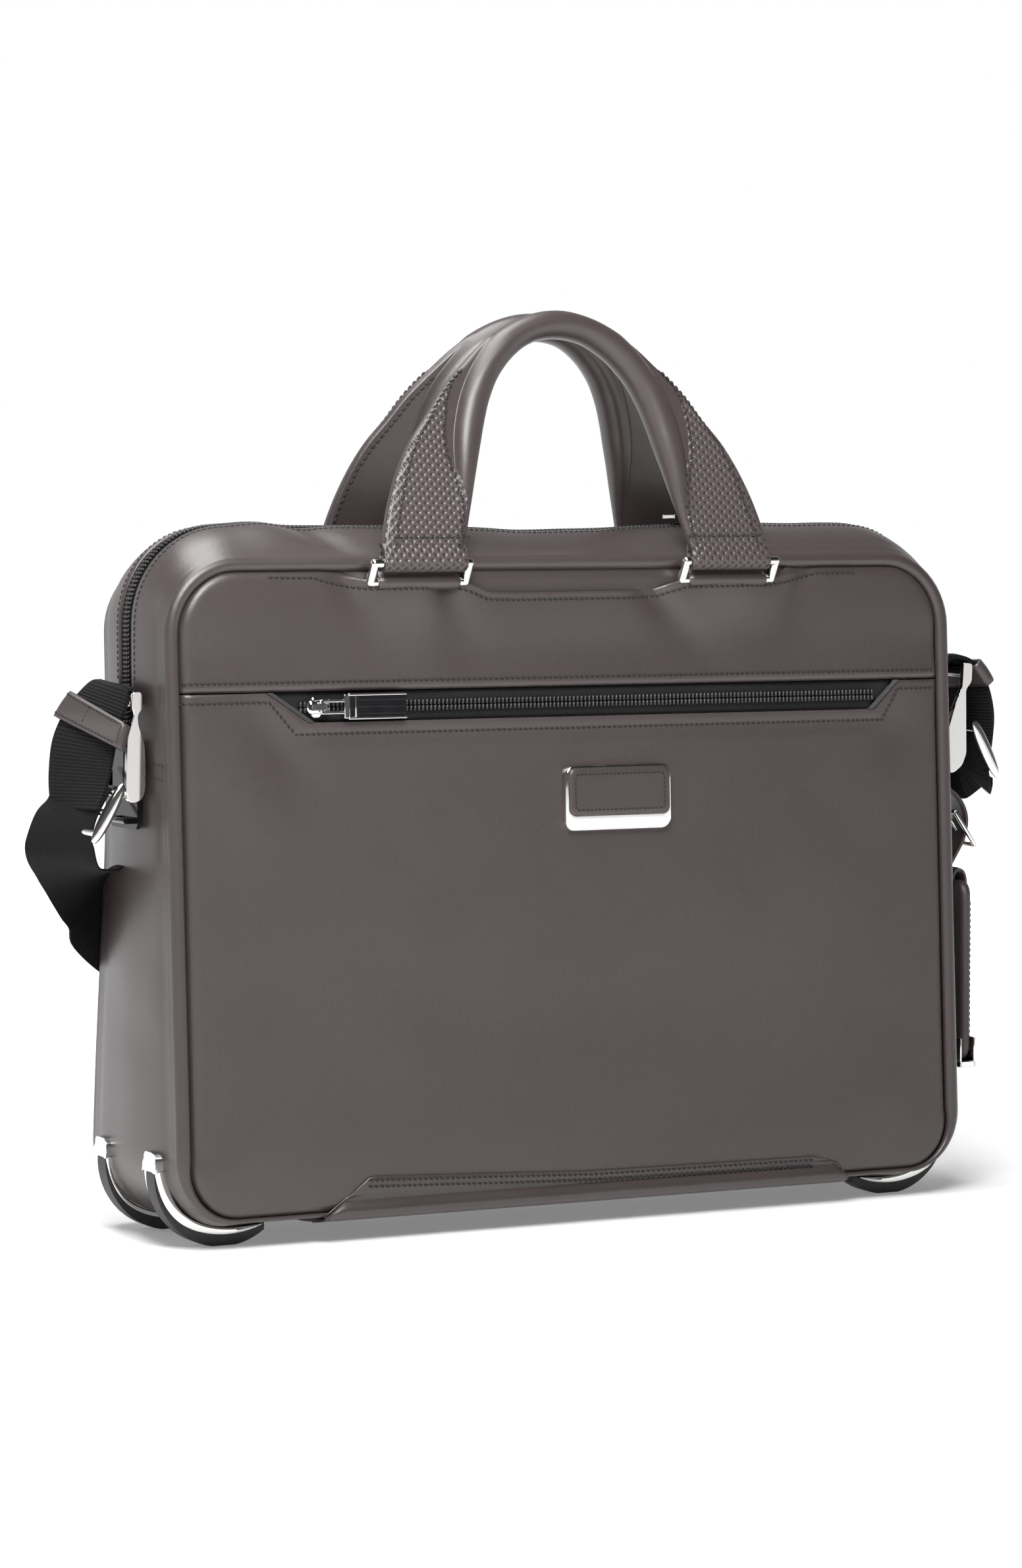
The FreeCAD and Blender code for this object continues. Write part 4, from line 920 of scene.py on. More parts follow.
def handle_point(x, z, out, side):
    """World point of the handle's plane: x, world height, height out of the plane."""
    up = z - BAR[side].z
    y = -BAR[-1].y - up * math.tan(HANDLE_LEAN) + out * math.cos(HANDLE_LEAN)
    return Vector((x + (REAR_SHIFT if side > 0 else 0), side * y, z + out * math.sin(HANDLE_LEAN)))


# Half of the handle from the ring up: inner edge (x, z), outer edge (x, z), roll's width, roll's depth.
STATIONS = [(58.6, 302.5, 98.4, 304.5, 4.6, 4.6), (56.5, 309, 97.2, 311.5, 4.8, 4.8),
            (54.0, 318, 95.0, 320, 5.4, 5.4), (51.2, 328, 91.5, 330, 8, 8), (48, 340, 86.5, 341, 11.4, 12),
            (44.8, 351, 80, 352, 14, 14), (41.8, 361, 71, 363, 15, 14.6),
            (37.8, 371.6, 62, 374.5, 15.2, 15.2), (31.8, 382, 51, 385.5, 15.2, 15.6),
            (23, 391.2, 36.5, 398.2, 14.4, 16),
            (12.5, 397.4, 18.5, 408.2, 13.2, 16.6), (0, 399.4, 0, 411.9, 12.5, 17)]


def catmull(values, steps):
    """Smooth curve through tuples of numbers."""
    result = []
    last = len(values) - 1
    for i in range(last):
        a, b, c, d = values[max(0, i - 1)], values[i], values[i + 1], values[min(last, i + 2)]
        for k in range(steps):
            s = k / steps
            result.append(tuple(0.5 * (2 * q + (r - p) * s + (2 * p - 5 * q + 4 * r - t) * s * s
                                       + (3 * q - p - 3 * r + t) * s ** 3)
                                for p, q, r, t in zip(a, b, c, d)))
    return result + [values[-1]]


def half_thick(a, wide, roll, deep, flat=2.3):
    """Half thickness at a distance from the inner edge: a round roll, then a flat wing."""
    r = min(roll, wide) / 2
    round_part = deep / 2 * math.sqrt(max(0.0, 1 - ((a - r) / r) ** 2)) if a < 2 * r else 0.0
    if a < r:
        return round_part
    rim = wide - a
    return max(round_part, flat if rim >= flat else math.sqrt(max(0.0, flat ** 2 - (flat - rim) ** 2)))


ACROSS, ROUND_STEPS = 26, 16      # samples across a section, and how many of them lie round the roll
mirrored = [(-ix, iz, -ox, oz, w, d) for ix, iz, ox, oz, w, d in reversed(STATIONS[:-1])]
SECTIONS = catmull(STATIONS + mirrored, 7)


def across_share(k, wide, roll):
    """Sample distances from the inner edge: close together round the roll and at the rim."""
    r = min(roll, wide) / 2
    if k <= ROUND_STEPS:
        return r * (1 - math.cos(math.pi * k / ROUND_STEPS))
    rest = wide - 2 * r
    share = (k - ROUND_STEPS) / (ACROSS - ROUND_STEPS)
    return 2 * r + rest * math.sin(share * math.pi / 2)


def section_points(station, side):
    """Closed ring of points round the handle at one station."""
    ix, iz, ox, oz, roll, deep = station
    inner, outer = Vector((ix, 0, iz)), Vector((ox, 0, oz))
    wide = (outer - inner).length
    direction = (outer - inner) / wide
    distances = [across_share(k, wide, roll) for k in range(ACROSS + 1)]
    ring = []
    for face in (1, -1):
        order = distances if face > 0 else distances[-2:0:-1]
        for a in order:
            spot = inner + direction * a
            out = face * half_thick(a, wide, roll, deep)
            crease = 0.35 * waves(spot, 12, 41.0) * (1 if roll > 9 else 0.4)
            ring.append(handle_point(spot.x, spot.z, out + face * crease * 0.5, side))
    return ring


def handle_leather(side, name, node, body):
    rings = [section_points(s, side) for s in SECTIONS]
    count = len(rings[0])
    faces = grid_faces(len(rings), count, close_columns=True)
    if side > 0:
        faces = [tuple(reversed(f)) for f in faces]
    faces += [tuple(range(count)), tuple((len(rings) - 1) * count + k for k in reversed(range(count)))]
    return piece(name, [p for ring in rings for p in ring], faces, "leather", body, [node])


# Inner edge of the embossed inserts: (world height, x).
INSERT_INNER = [(303.0, 57.2), (322, 54.4), (334, 57), (347, 61.3), (356, 62), (369, 60), (381, 54),
                (385.6, 50.5)]
INSERT_LOW, INSERT_TOP, INSERT_STEPS = 304, 384.5, 14
HALF_WAY = len(SECTIONS) // 2


def insert_skin(side, name, node, body):
    """Embossed leather laid over the outer part of both legs, with its rows of stitches."""
    points, faces = [], []
    for hand in (1, -1):
        rows = []
        leg = SECTIONS[:HALF_WAY + 1] if hand > 0 else SECTIONS[HALF_WAY:][::-1]
        for ix, iz, ox, oz, roll, deep in leg:
            inner, outer = Vector((abs(ix), 0, iz)), Vector((abs(ox), 0, oz))
            if outer.z > INSERT_TOP + 2 or outer.z < INSERT_LOW:
                continue
            wide = (outer - inner).length
            direction = (outer - inner) / wide
            start = max(0.0, (interpolate(inner.z, INSERT_INNER) - inner.x) / max(0.2, direction.x))
            start = min(start, wide - 1.2)
            row = []
            for k in range(INSERT_STEPS + 1):
                a = start + (wide - 0.7 - start) * k / INSERT_STEPS
                spot = inner + direction * a
                edge = 0.1 if k in (0, INSERT_STEPS) else 0.55
                row.append(handle_point(hand * spot.x, spot.z, half_thick(a, wide, roll, deep) + edge, side))
            rows.append(row)
        base = len(points)
        points += [p for row in rows for p in row]
        flip = (hand > 0) == (side > 0)
        for f in grid_faces(len(rows), INSERT_STEPS + 1):
            f = tuple(base + v for v in f)
            faces.append(tuple(reversed(f)) if flip else f)
        normal = Vector((0, side * math.cos(HANDLE_LEAN), math.sin(HANDLE_LEAN)))
        for sewing in ([row[13].lerp(row[12], 0.9) for row in rows], [row[1] for row in rows]):
            stitch(body, [p + normal * 0.2 for p in sewing], normal, 3.0)
        stitch(body, [handle_point(hand * x, 309.5, 3.0, side) for x in (56.5, 66, 76, 86, 95)], normal, 2.6)
    return piece(name, points, faces, "embossed_leather", body, [node])


FOLD_RADIUS = 3.95


def fold_pad(side, name, body):
    """Leather fold that closes round each ring's upper bar: a teardrop along the bar."""
    points, faces = [], []
    neck = [(1.6, 8.4), (2.9, 6.0), (3.75, 2.6), (FOLD_RADIUS, 0)]
    drop = neck + arc(FOLD_RADIUS, range(-20, -180, -20)) + [(-out, up) for out, up in reversed(neck)]
    for hand in (-1, 1):
        base = len(points)
        ends = [(57.4, 0.72), (58.0, 0.93), (59.2, 1)] + [(59.2 + 37.4 * k / 6, 1) for k in range(1, 6)]
        ends += [(96.6, 1), (97.8, 0.93), (98.4, 0.72)]
        for x, size in ends:
            for out, up in drop:
                z = BAR[side].z + up * (size if up < 0 else 1)
                points.append(handle_point(hand * x, z, out * size, side))
        flip = (hand > 0) == (side > 0)
        for f in grid_faces(len(ends), len(drop), close_columns=True):
            f = tuple(base + v for v in f)
            faces.append(f if flip else tuple(reversed(f)))
        for end in (0, len(ends) - 1):
            cap = [base + end * len(drop) + k for k in range(len(drop))]
            faces.append(tuple(cap if (end == 0) == flip else reversed(cap)))
    return piece(name, points, faces, "embossed_leather", body)


for side, name in ((-1, "front"), (1, "rear")):
    body = name + "_handle_body"
    handle_leather(side, name + "_handle_leather", name + "_handle", body)
    insert_skin(side, name + "_handle_emboss", name + "_handle_inserts", body)
    fold_pad(side, name + "_handle_folds", body)
    normal = Vector((0, -side * math.cos(HANDLE_LEAN), -math.sin(HANDLE_LEAN)))
    for hand in (-1, 1):
        inside = []
        for ix, iz, ox, oz, roll, deep in STATIONS[1:9]:
            inside.append(handle_point(hand * (ox - 3.4), oz - (1.2 if oz > 350 else 0), -2.45, side))
        stitch(body, inside, normal, 3.2)

# ------------------------------------------------------------------ webbing of the shoulder strap


def band(name, stations, wide, thick, material, body=None, stands_for=()):
    """Flat band through (centre, direction across) stations, its edges slightly rounded."""
    steps = 9
    profile = []
    for k in range(steps + 1):
        v = -1 + 2 * k / steps
        profile.append((v * wide / 2, thick / 2 * (0.55 if k in (0, steps) else 1)))
    profile += [(v, -t) for v, t in reversed(profile)]
    count = len(profile)
    points, uv, gone = [], [], 0.0
    for i, (centre, across) in enumerate(stations):
        before, after = stations[max(0, i - 1)][0], stations[min(len(stations) - 1, i + 1)][0]
        along = (after - before).normalized()
        across = (across - along * across.dot(along)).normalized()
        out = along.cross(across).normalized()
        if i:
            gone += (centre - stations[i - 1][0]).length
        for v, t in profile:
            points.append(centre + across * v + out * t)
            uv.append((gone, v))
    return piece(name, points, tube_faces(len(stations), count), material, body, stands_for, uv=uv, sharp=35)


PIN_OUT, PIVOT, STRAP_ROW, WEBBING = 209.5, 200, -2, 38


def between(edges, steps=7):
    """Stations from the front and rear edges of a band, on smooth curves."""
    flat = catmull([tuple(f) + tuple(r) for f, r in edges], steps)
    stations = []
    for values in flat:
        front, rear = Vector(values[:3]), Vector(values[3:])
        across = (rear - front).normalized()
        stations.append((rear - across * WEBBING / 2, across))
    return stations


# Front and rear edge of the webbing that hangs from each clip, from the clip's bar to its lower end.
LEFT_LOOP = [((-206.4, -21, 236.0), (-206.4, 17, 236.5)), ((-207.2, -21, 242.0), (-207.6, 17, 243.5)),
             ((-209.5, -21, 243.8), (-211.8, 17, 246.5)), ((-211.0, -21, 236.5), (-219, 17, 240.5)),
             ((-212.6, -21, 228.5), (-226, 17, 231.5)), ((-214.5, -21, 218.3), (-231, 17, 221)),
             ((-217.4, -21, 206), (-232.4, 17, 209.8)), ((-221.8, -21, 196), (-232, 17, 200)),
             ((-225.5, -21, 189.4), (-230.5, 17, 194.5))]
LEFT_TAIL = [((-219.5, -21, 199), (-226.5, 16, 211)), ((-226.6, -21, 184.5), (-231.5, 17, 198.5)),
             ((-225.6, -16, 175), (-239.0, 18, 189)), ((-223.5, -8, 168.5), (-243.0, 19, 178)),
             ((-220.0, 1, 165), (-241.0, 23, 168.5)), ((-214.5, 11, 162.5), (-233.5, 29, 159.0)),
             ((-208.5, 23, 160.0), (-224.0, 36, 149.0)), ((-201.5, 36, 157.0), (-213.5, 43, 136.0)),
             ((-193.0, 48, 153.5), (-201.0, 49.5, 121.5)), ((-168, 52.0, 141), (-176, 50.8, 103.4)),
             ((-120, 51.2, 120), (-126, 50.2, 82)), ((-60, 50.6, 109), (-62, 50.0, 71)),
             ((1.5, 50.6, 105), (1.5, 50.6, 67))]
RIGHT_LOOP = [((207.6, -21, 241.0), (207.6, 17, 241.0)), ((209.6, -21, 248.4), (208.6, 17, 247)),
              ((215.8, -21, 252.0), (214, 17, 250.5)), ((226.1, -21, 248.6), (222, 17, 246.5)),
              ((233.2, -21, 238.6), (229, 17, 236.5)), ((236.8, -21, 225.3), (232, 17, 223)),
              ((236.2, -21, 212.6), (231, 17, 211)), ((234.4, -21, 202.4), (229, 17, 201))]
RIGHT_TAIL = [((229.5, -20, 211), (225, 16, 219)), ((233.9, -21, 196.1), (229.5, 16, 203)),
              ((236.2, -9, 191.4), (229, 22, 209)), ((235.4, 6, 187.0), (227, 30, 214)),
              ((229.0, 24, 181.0), (220, 40, 214)), ((217.5, 40, 176.5), (210, 49, 211)),
              ((204, 49.5, 171), (200, 50.5, 206)), ((180, 50.6, 158), (184, 50.6, 194)),
              ((122, 50.2, 98), (128, 50.8, 134)), ((64, 50.0, 74), (66, 50.6, 112)),
              ((-1.5, 50.6, 67), (-1.5, 50.6, 105))]


def ribbon_out(front, rear, below_front, below_rear, side):
    """Outward normal of the webbing between two of its cross lines."""
    along = (below_front + below_rear - front - rear).normalized()
    normal = (rear - front).normalized().cross(along).normalized()
    return normal if normal.x * side > 0 else -normal


def keeper(name, corners, side, body, node):
    """Leather loop sewn round both layers of webbing, given by its corners on the outer face."""
    top_f, top_r, low_f, low_r = [Vector(c) for c in corners]
    out = ribbon_out(top_f, top_r, low_f, low_r, side)
    wrap = [(-0.03, 0), (-0.045, 1.4), (-0.02, 2.7)] + [(v / 8, 2.9) for v in range(0, 9)]
    wrap += [(1.02, 2.7), (1.045, 1.4), (1.045, -1.4), (1.02, -2.7)]
    wrap += [(v / 4, -2.9) for v in (4, 3, 2, 1, 0)] + [(-0.02, -2.7), (-0.045, -1.4)]
    points = []
    rows = 7

    def spot(share, across, high):
        """Point over the loop: share from top to bottom, across from the rear edge to the front."""
        return top_r.lerp(low_r, share).lerp(top_f.lerp(low_f, share), across) + out * high

    for i in range(rows):
        share = i / (rows - 1)
        for across, high in wrap:
            puff = 0.5 * math.sin(math.pi * share) if high > 0 else 0.0
            points.append(spot(share, across, high + puff))
    faces = grid_faces(rows, len(wrap), close_columns=True)
    if side > 0:
        faces = [tuple(reversed(f)) for f in faces]
    made = piece(name, points, faces, "leather", body, [node])
    facing_out(made)
    shell = made.modifiers.new("thickness", "SOLIDIFY")
    shell.thickness, shell.offset = 0.0012, -1
    for share in (0.13, 0.87):
        stitch(body, [spot(share, v / 8, 3.15) for v in range(9)], out, 2.4)
    stitch(body, [spot(share, 0.42, 3.3) for share in (0.15, 0.5, 0.85)], out, 2.0, 0.3)


def cheek(outline, y, side):
    """Flat side plate of a clip, from its (x, z) outline."""
    points = [Vector((x, y + depth * side, z)) for depth in (1.3, -1.3) for x, z in outline]
    return points, slab_faces(len(outline))


def solid(name, parts, material, body, stands_for=(), bevel=0.6):
    """Several (points, faces) shells as one piece with rounded edges."""
    points, faces = [], []
    for some, some_faces in parts:
        base = len(points)
        points += some
        faces += [tuple(base + v for v in f) for f in some_faces]
    return piece(name, points, faces, material, body, stands_for, sharp=40, bevel=bevel)


def bar(start, end, radius, sides=14):
    """Round bar between two points."""
    start, end = Vector(start), Vector(end)
    along = (end - start).normalized()
    across = along.orthogonal().normalized()
    up = along.cross(across)
    points = []
    for spot, size in ((start, 0.8), (start + along * 0.4, 1), (end - along * 0.4, 1), (end, 0.8)):
        for k in range(sides):
            turn = 2 * math.pi * k / sides
            points.append(spot + (across * math.cos(turn) + up * math.sin(turn)) * radius * size)
    return points, tube_faces(4, sides)


def softened(outline, radius=1.0, steps=3):
    """Outline with its corners rounded."""
    result = []
    count = len(outline)
    for i in range(count):
        before, here, after = (Vector(outline[(i + d) % count]) for d in (-1, 0, 1))
        a = here + (before - here).normalized() * min(radius, (before - here).length * 0.45)
        b = here + (after - here).normalized() * min(radius, (after - here).length * 0.45)
        for k in range(steps + 1):
            t = k / steps
            result.append(tuple(a * (1 - t) ** 2 + here * 2 * t * (1 - t) + b * t * t))
    return result


# Clip cheeks: (x, z) outlines as they hang beside the case, and the middle of the bar at their top.
CHEEK = {-1: [(-210.4, 243.6), (-205.6, 243.4), (-205.4, 236.0), (-207.6, 233.6), (-207.4, 229.4),
              (-204.6, 221), (-204.2, 216.5), (-204.2, 201.5), (-205.4, 197.2), (-209.0, 195.0),
              (-212.6, 196.0), (-213.4, 200.5), (-212.6, 224), (-210.8, 229.5), (-209.4, 233.6),
              (-210.4, 236.2)],
         1: [(217.6, 249.4), (222.8, 248.8), (222.4, 240.2), (219.2, 236.6), (219.6, 206), (217.2, 200.4),
             (212.6, 197.0), (207.0, 197.4), (205.4, 201.0), (208.0, 214), (212.6, 228), (217.0, 238)]}
CLIP_TOP = {-1: Vector((-208.6, 0, 238.8)), 1: Vector((219.6, 0, 244.2))}
GLIDE = {-1: [(-216.6, 201.8), (-228.6, 181.0)], 1: [(225.2, 219.4), (236.6, 196.8)]}
KEEPER = {-1: ((-212.6, -22.5, 229.6), (-219.8, 18, 241.4), (-216.2, -22.5, 218.8), (-227.6, 18, 230.6)),
          1: ((225.6, -22.5, 249.0), (221.8, 18, 246.6), (233.2, -22.5, 239.4), (229.2, 18, 237.2))}

for side, name, loop, tail in ((-1, "left", LEFT_LOOP, LEFT_TAIL), (1, "right", RIGHT_LOOP, RIGHT_TAIL)):
    body = name + "_strap_end"
    band(name + "_webbing", between(loop), WEBBING - 1, 3.2, "webbing", body, [name + "_webbing_loop"])
    strap = band(name + "_strap", between(tail, 8), WEBBING, 1.7, "webbing_fine", None, [name + "_strap_run"])
    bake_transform(strap)
    keeper(name + "_keeper_leather", KEEPER[side], side, body, name + "_strap_keeper")
    outline = softened(CHEEK[side], 1.6)
    cheeks = [cheek(outline, y, side) for y in (STRAP_ROW - 20.6, STRAP_ROW + 20.6)]
    for middle, half, radius in ((CLIP_TOP[side], 20, 2.0), (Vector((side * PIN_OUT, 0, PIVOT)), 20.9, 1.5)):
        cheeks.append(bar(*(middle + Vector((0, STRAP_ROW + end * half, 0)) for end in (-1, 1)), radius))
    solid(name + "_clip_cheeks", cheeks, "nickel", body, [name + "_clip_frame"], bevel=0.7)
    high, low = (Vector((x, 0, z)) for x, z in GLIDE[side])
    run = (low - high).normalized()
    out = Vector((run.z, 0, -run.x)) * (1 if side > 0 else -1)
    parts = [bar(high.lerp(low, share) + Vector((0, -24, 0)), high.lerp(low, share) + Vector((0, 20, 0)), 1.5)
             for share in (0.08, 0.5, 0.92)]
    for y in (-24.2, 20.4):
        points = []
        for k in range(13):
            t = -math.cos(math.pi * k / 12)
            size = math.sqrt(max(0.03, 1 - t * t)) ** 0.7
            spot = (high + low) / 2 + run * (t * ((low - high).length / 2 + 2.4)) + out * 0.8
            for j in range(12):
                turn = math.pi * j / 6
                sideways = Vector((0, y + 1.5 * size * math.sin(turn), 0))
                points.append(spot + out * (3.1 * size * math.cos(turn)) + sideways)
        parts.append((points, tube_faces(13, 12)))
    facing_out(solid(name + "_glide", parts, "nickel", body, [name + "_triglide"], bevel=0))

# ------------------------------------------------------------------ name plate
PLATE_X, PLATE_Z, PLATE_W, PLATE_H = 18.8, 180.3, 54.5, 29.5


def rounded_loop(wide, high, radius, shift=0.0, corner=7):
    """Closed rounded rectangle round the middle of the plate: (x, z) pairs, anticlockwise."""
    loop = []
    for cx, cz, start in ((1, -1, -90), (1, 1, 0), (-1, 1, 90), (-1, -1, 180)):
        for k in range(corner):
            turn = math.radians(start + 90 * k / (corner - 1))
            loop.append((PLATE_X + cx * (wide / 2 - radius) + radius * math.cos(turn),
                         PLATE_Z + shift + cz * (high / 2 - radius) + radius * math.sin(turn)))
    return loop


def plate_shell(levels, bottom_slope):
    """Rounded-rectangle rings at rising heights, closed by a cap."""
    points, faces = [], []
    for wide, high, radius, shift, out in levels:
        for x, z in rounded_loop(wide, high, radius, shift):
            low = max(0.0, 1 - (z - (PLATE_Z - PLATE_H / 2)) / 6.6)
            points.append(face_point(x, out * (1 - bottom_slope * low) + 2.2, z))
    count = len(points) // len(levels)
    faces = grid_faces(len(levels), count, close_columns=True)
    faces.append(tuple((len(levels) - 1) * count + k for k in range(count)))
    return points, faces


# Each level: width, height, corner radius, shift up the face, height out of it.
frame_levels = [(PLATE_W, PLATE_H, 4.6, 0, -1.0), (PLATE_W, PLATE_H, 4.6, 0, 3.6),
                (PLATE_W - 0.7, PLATE_H - 0.7, 4.3, 0, 4.2), (PLATE_W - 1.8, PLATE_H - 1.8, 3.8, 0, 4.4),
                (PLATE_W - 3.0, PLATE_H - 8.2, 3.2, 2.6, 4.45), (PLATE_W - 5, PLATE_H - 10, 2.4, 2.6, 4.2)]
piece("nameplate_metal", *plate_shell(frame_levels, 0.42), "nickel", "case", ["nameplate_frame"])
inset_levels = [(PLATE_W - 2.6, PLATE_H - 7.8, 3.6, 2.7, 3.6), (PLATE_W - 2.6, PLATE_H - 7.8, 3.6, 2.7, 4.6),
                (PLATE_W - 3.4, PLATE_H - 8.6, 3.3, 2.7, 5.1),
                (PLATE_W - 5.5, PLATE_H - 10.5, 2.7, 2.7, 5.35),
                (PLATE_W - 9, PLATE_H - 14, 1.8, 2.7, 5.4), (PLATE_W - 20, PLATE_H - 22.5, 1.0, 2.7, 5.45)]
piece("nameplate_leather", *plate_shell(inset_levels, 0.0), "leather", "case", ["nameplate_inset"])
ring = rounded_loop(PLATE_W - 8.6, PLATE_H - 13.4, 2.2, 2.7)
stitch("case", [face_point(x, 2.2 + 5.5, z) for x, z in ring + ring[:1]], FRONT_OUT, 2.1, 0.32)

# ------------------------------------------------------------------ skid guards
GUARD_ROW, GUARD_HALF = 27.5, 7.0
# Line where metal meets rubber round the corner (x, z), with the metal's width there.
GUARD_LINE = [(204.4, 34.5, 4.6), (203.9, 30, 4.9), (202.4, 24, 4.8), (199.0, 17.6, 4.5), (194.0, 12.2, 4.2),
              (187.6, 8.4, 3.9), (180, 6.1, 3.5), (172, 5.2, 3.1), (164, 5.7, 2.4), (158, 7.0, 1.6),
              (154.5, 8.4, 0.5)]


def guard_rail(side, y0, y1):
    """Metal strip that follows the corner beside the rubber, tapering along the base."""
    line = catmull(GUARD_LINE, 5)
    points, count = [], 6
    for i, (x, z, wide) in enumerate(line):
        before, after = line[max(0, i - 1)], line[min(len(line) - 1, i + 1)]
        run = Vector((after[0] - before[0], 0, after[1] - before[1])).normalized()
        inward = Vector((run.z, 0, -run.x))
        if inward.x > 0 and i < len(line) // 2 or inward.z < 0 and i >= len(line) // 2:
            inward = -inward
        spot = Vector((x, 0, z))
        middle = (y0 + y1) / 2
        section = [(0, y0), (0.0, y1), (0.45 * wide, y1 + (y1 - middle) * 0.3), (wide, y1),
                   (wide, y0), (0.45 * wide, y0 + (y0 - middle) * 0.3)]
        for deep, y in section:
            p = spot + inward * deep
            points.append(Vector((side * p.x, y, p.z)))
    faces = grid_faces(len(line), count, close_columns=True)
    faces += [tuple(range(count)), tuple((len(line) - 1) * count + k for k in reversed(range(count)))]
    return points, faces


def guard_cap(side, row):
    """Rounded metal cap at the top of a guard, with a small notch on its inner corner."""
    outline = [(-7, 33.6), (-4.7, 34.6), (4.7, 34.6), (7, 33.6), (7, 38.6), (4.9, 39.6), (5.9, 41.4),
               (4.0, 43), (-4.0, 43), (-7, 40.6)]
    points = []
    for out in (206.4, 200.5):
        for y, z in softened(outline, 0.9, 2):
            shallow = 0.10 * (z - 34) if out > 203 else 0.0
            points.append(Vector((side * (out - shallow - 0.018 * y * y * (out > 203)), row + y, z)))
    return points, slab_faces(len(points) // 2)


guard_parts = []
for side in (-1, 1):
    for row in (-GUARD_ROW, GUARD_ROW):
        guard_parts.append(guard_cap(side, row))
        guard_parts.append(guard_rail(side, row - GUARD_HALF, row - 4.7))
        guard_parts.append(guard_rail(side, row + 4.7, row + GUARD_HALF))
solid("guard_metal", guard_parts, "nickel", "case", ["skid_guard_frames"], bevel=0.4)


# ------------------------------------------------------------------ pads, tabs and small fittings
def mapped(part, place):
    """The same shape with each point passed through place."""
    points, faces = part
    return [place(*p) for p in points], faces


def crowned(low, high, thin, corner=4.0, fill=0.12, seed=0.0, cells=26):
    """Closed pad inside a box: rounded corners, crowned faces and a slim rim, a little uneven."""
    a, b = [k for k in range(3) if k != thin]
    size = [(h - l) / 2 for l, h in zip(low, high)]
    middle = [(l + h) / 2 for l, h in zip(low, high)]
    along = [-math.cos(math.pi * k / cells) for k in range(cells + 1)]
    points = []
    for v in along:
        shift = max(0.0, abs(v) * size[b] - (size[b] - corner))
        wide = size[a] - corner + math.sqrt(max(0.0, corner ** 2 - shift ** 2))
        for face, row in ((1, along), (-1, along[::-1])):
            for u in row:
                rim = min((1 - abs(u)) * wide, (1 - abs(v)) * size[b]) / size[thin]
                thick = math.sqrt(max(0.02, 1 - max(0.0, 1 - rim) ** 2))
                thick *= 1 - fill * max(abs(u), abs(v)) ** 3
                spot = [0.0, 0.0, 0.0]
                spot[a], spot[b] = middle[a] + u * wide, middle[b] + v * size[b]
                uneven = 1 - 0.08 * abs(waves(spot, 30, seed))
                spot[thin] = middle[thin] + face * size[thin] * thick * uneven
                points.append(Vector(spot))
    return points, tube_faces(len(along), 2 * len(along))


def brick(x, y, z):
    """Box between three (low, high) pairs, for parts whose edges are rounded afterwards."""
    points = [Vector((a, b, c)) for a in x for b in y for c in z]
    return points, [(0, 1, 3, 2), (4, 6, 7, 5), (0, 4, 5, 1), (2, 3, 7, 6), (0, 2, 6, 4), (1, 5, 7, 3)]


RING_BAR_OUT, RING_BAR_Z, TAB_RADIUS = 3.4, 278.5, 3.45
TAB_WRAP = [(-3.3, 5.5), (-1.8, 5.9), (0.7, 4.6)] + arc(TAB_RADIUS, range(45, -186, -15))
TAB_SIZES = [(-20, 0.8), (-19.3, 0.96), (-17, 1), (-9, 1.03), (0, 1), (9, 1.03), (17, 1), (19.3, 0.96),
             (20, 0.8)]
for side, name, body in ((-1, "front", "mouth_flap"), (1, "rear", "case")):
    tabs = []
    for hand in (-1, 1):
        points = []
        for x, size in TAB_SIZES:
            for out, up in TAB_WRAP:
                out, z = max(0.05, RING_BAR_OUT + out * size), RING_BAR_Z + up * size
                points.append(face_point(hand * 79 + x, out, z, side)
                              + Vector((REAR_SHIFT if side > 0 else 0, 0, 0)))
        tabs.append((points, tube_faces(len(TAB_SIZES), len(TAB_WRAP))))
    facing_out(solid(name + "_tab_leather", tabs, "leather", body, [name + "_ring_tabs"], bevel=0))

PIN_HIGH = 5.2       # height of a pull's middle above the zip


def on_pocket(x, y, z):
    """World point of the pocket slider's own (along, across, out) place."""
    return face_point(x - 128, z - 0.2, y + 224.1)


def on_mouth(x, y, z):
    """World point of the mouth slider's own (along, across, out) place."""
    return Vector((103 - x, -y, z + 313.4))


def slider_parts(place):
    """Rounded saddle with side wings and a hooked bridge over it."""
    parts = [mapped(crowned((-6.4, -3.4, 0.4), (5.4, 3.4, 4.1), 2, 2.8, 0.3, 3.0, 14), place)]
    parts.append(mapped(crowned((-4.6, -4.9, 0.3), (1.2, 4.9, 3.3), 2, 2.4, 0.3, 5.0, 12), place))
    hook = catmull([(-5.2, 3.4), (-4.2, 5.6), (-1.8, 7.2), (0.8, 7.0), (2.6, 5.4), (3.2, 3.4)], 5)
    points = []
    for i, (x, z) in enumerate(hook):
        before, after = hook[max(0, i - 1)], hook[min(len(hook) - 1, i + 1)]
        run = Vector((after[0] - before[0], after[1] - before[1])).normalized()
        for y, out in ((-1.5, -0.2), (-1.1, 0.45), (1.1, 0.45), (1.5, -0.2), (1.1, -0.55), (-1.1, -0.55)):
            points.append(place(x - run.y * out, y, z + run.x * out))
    parts.append((points, tube_faces(len(hook), 6)))
    return parts


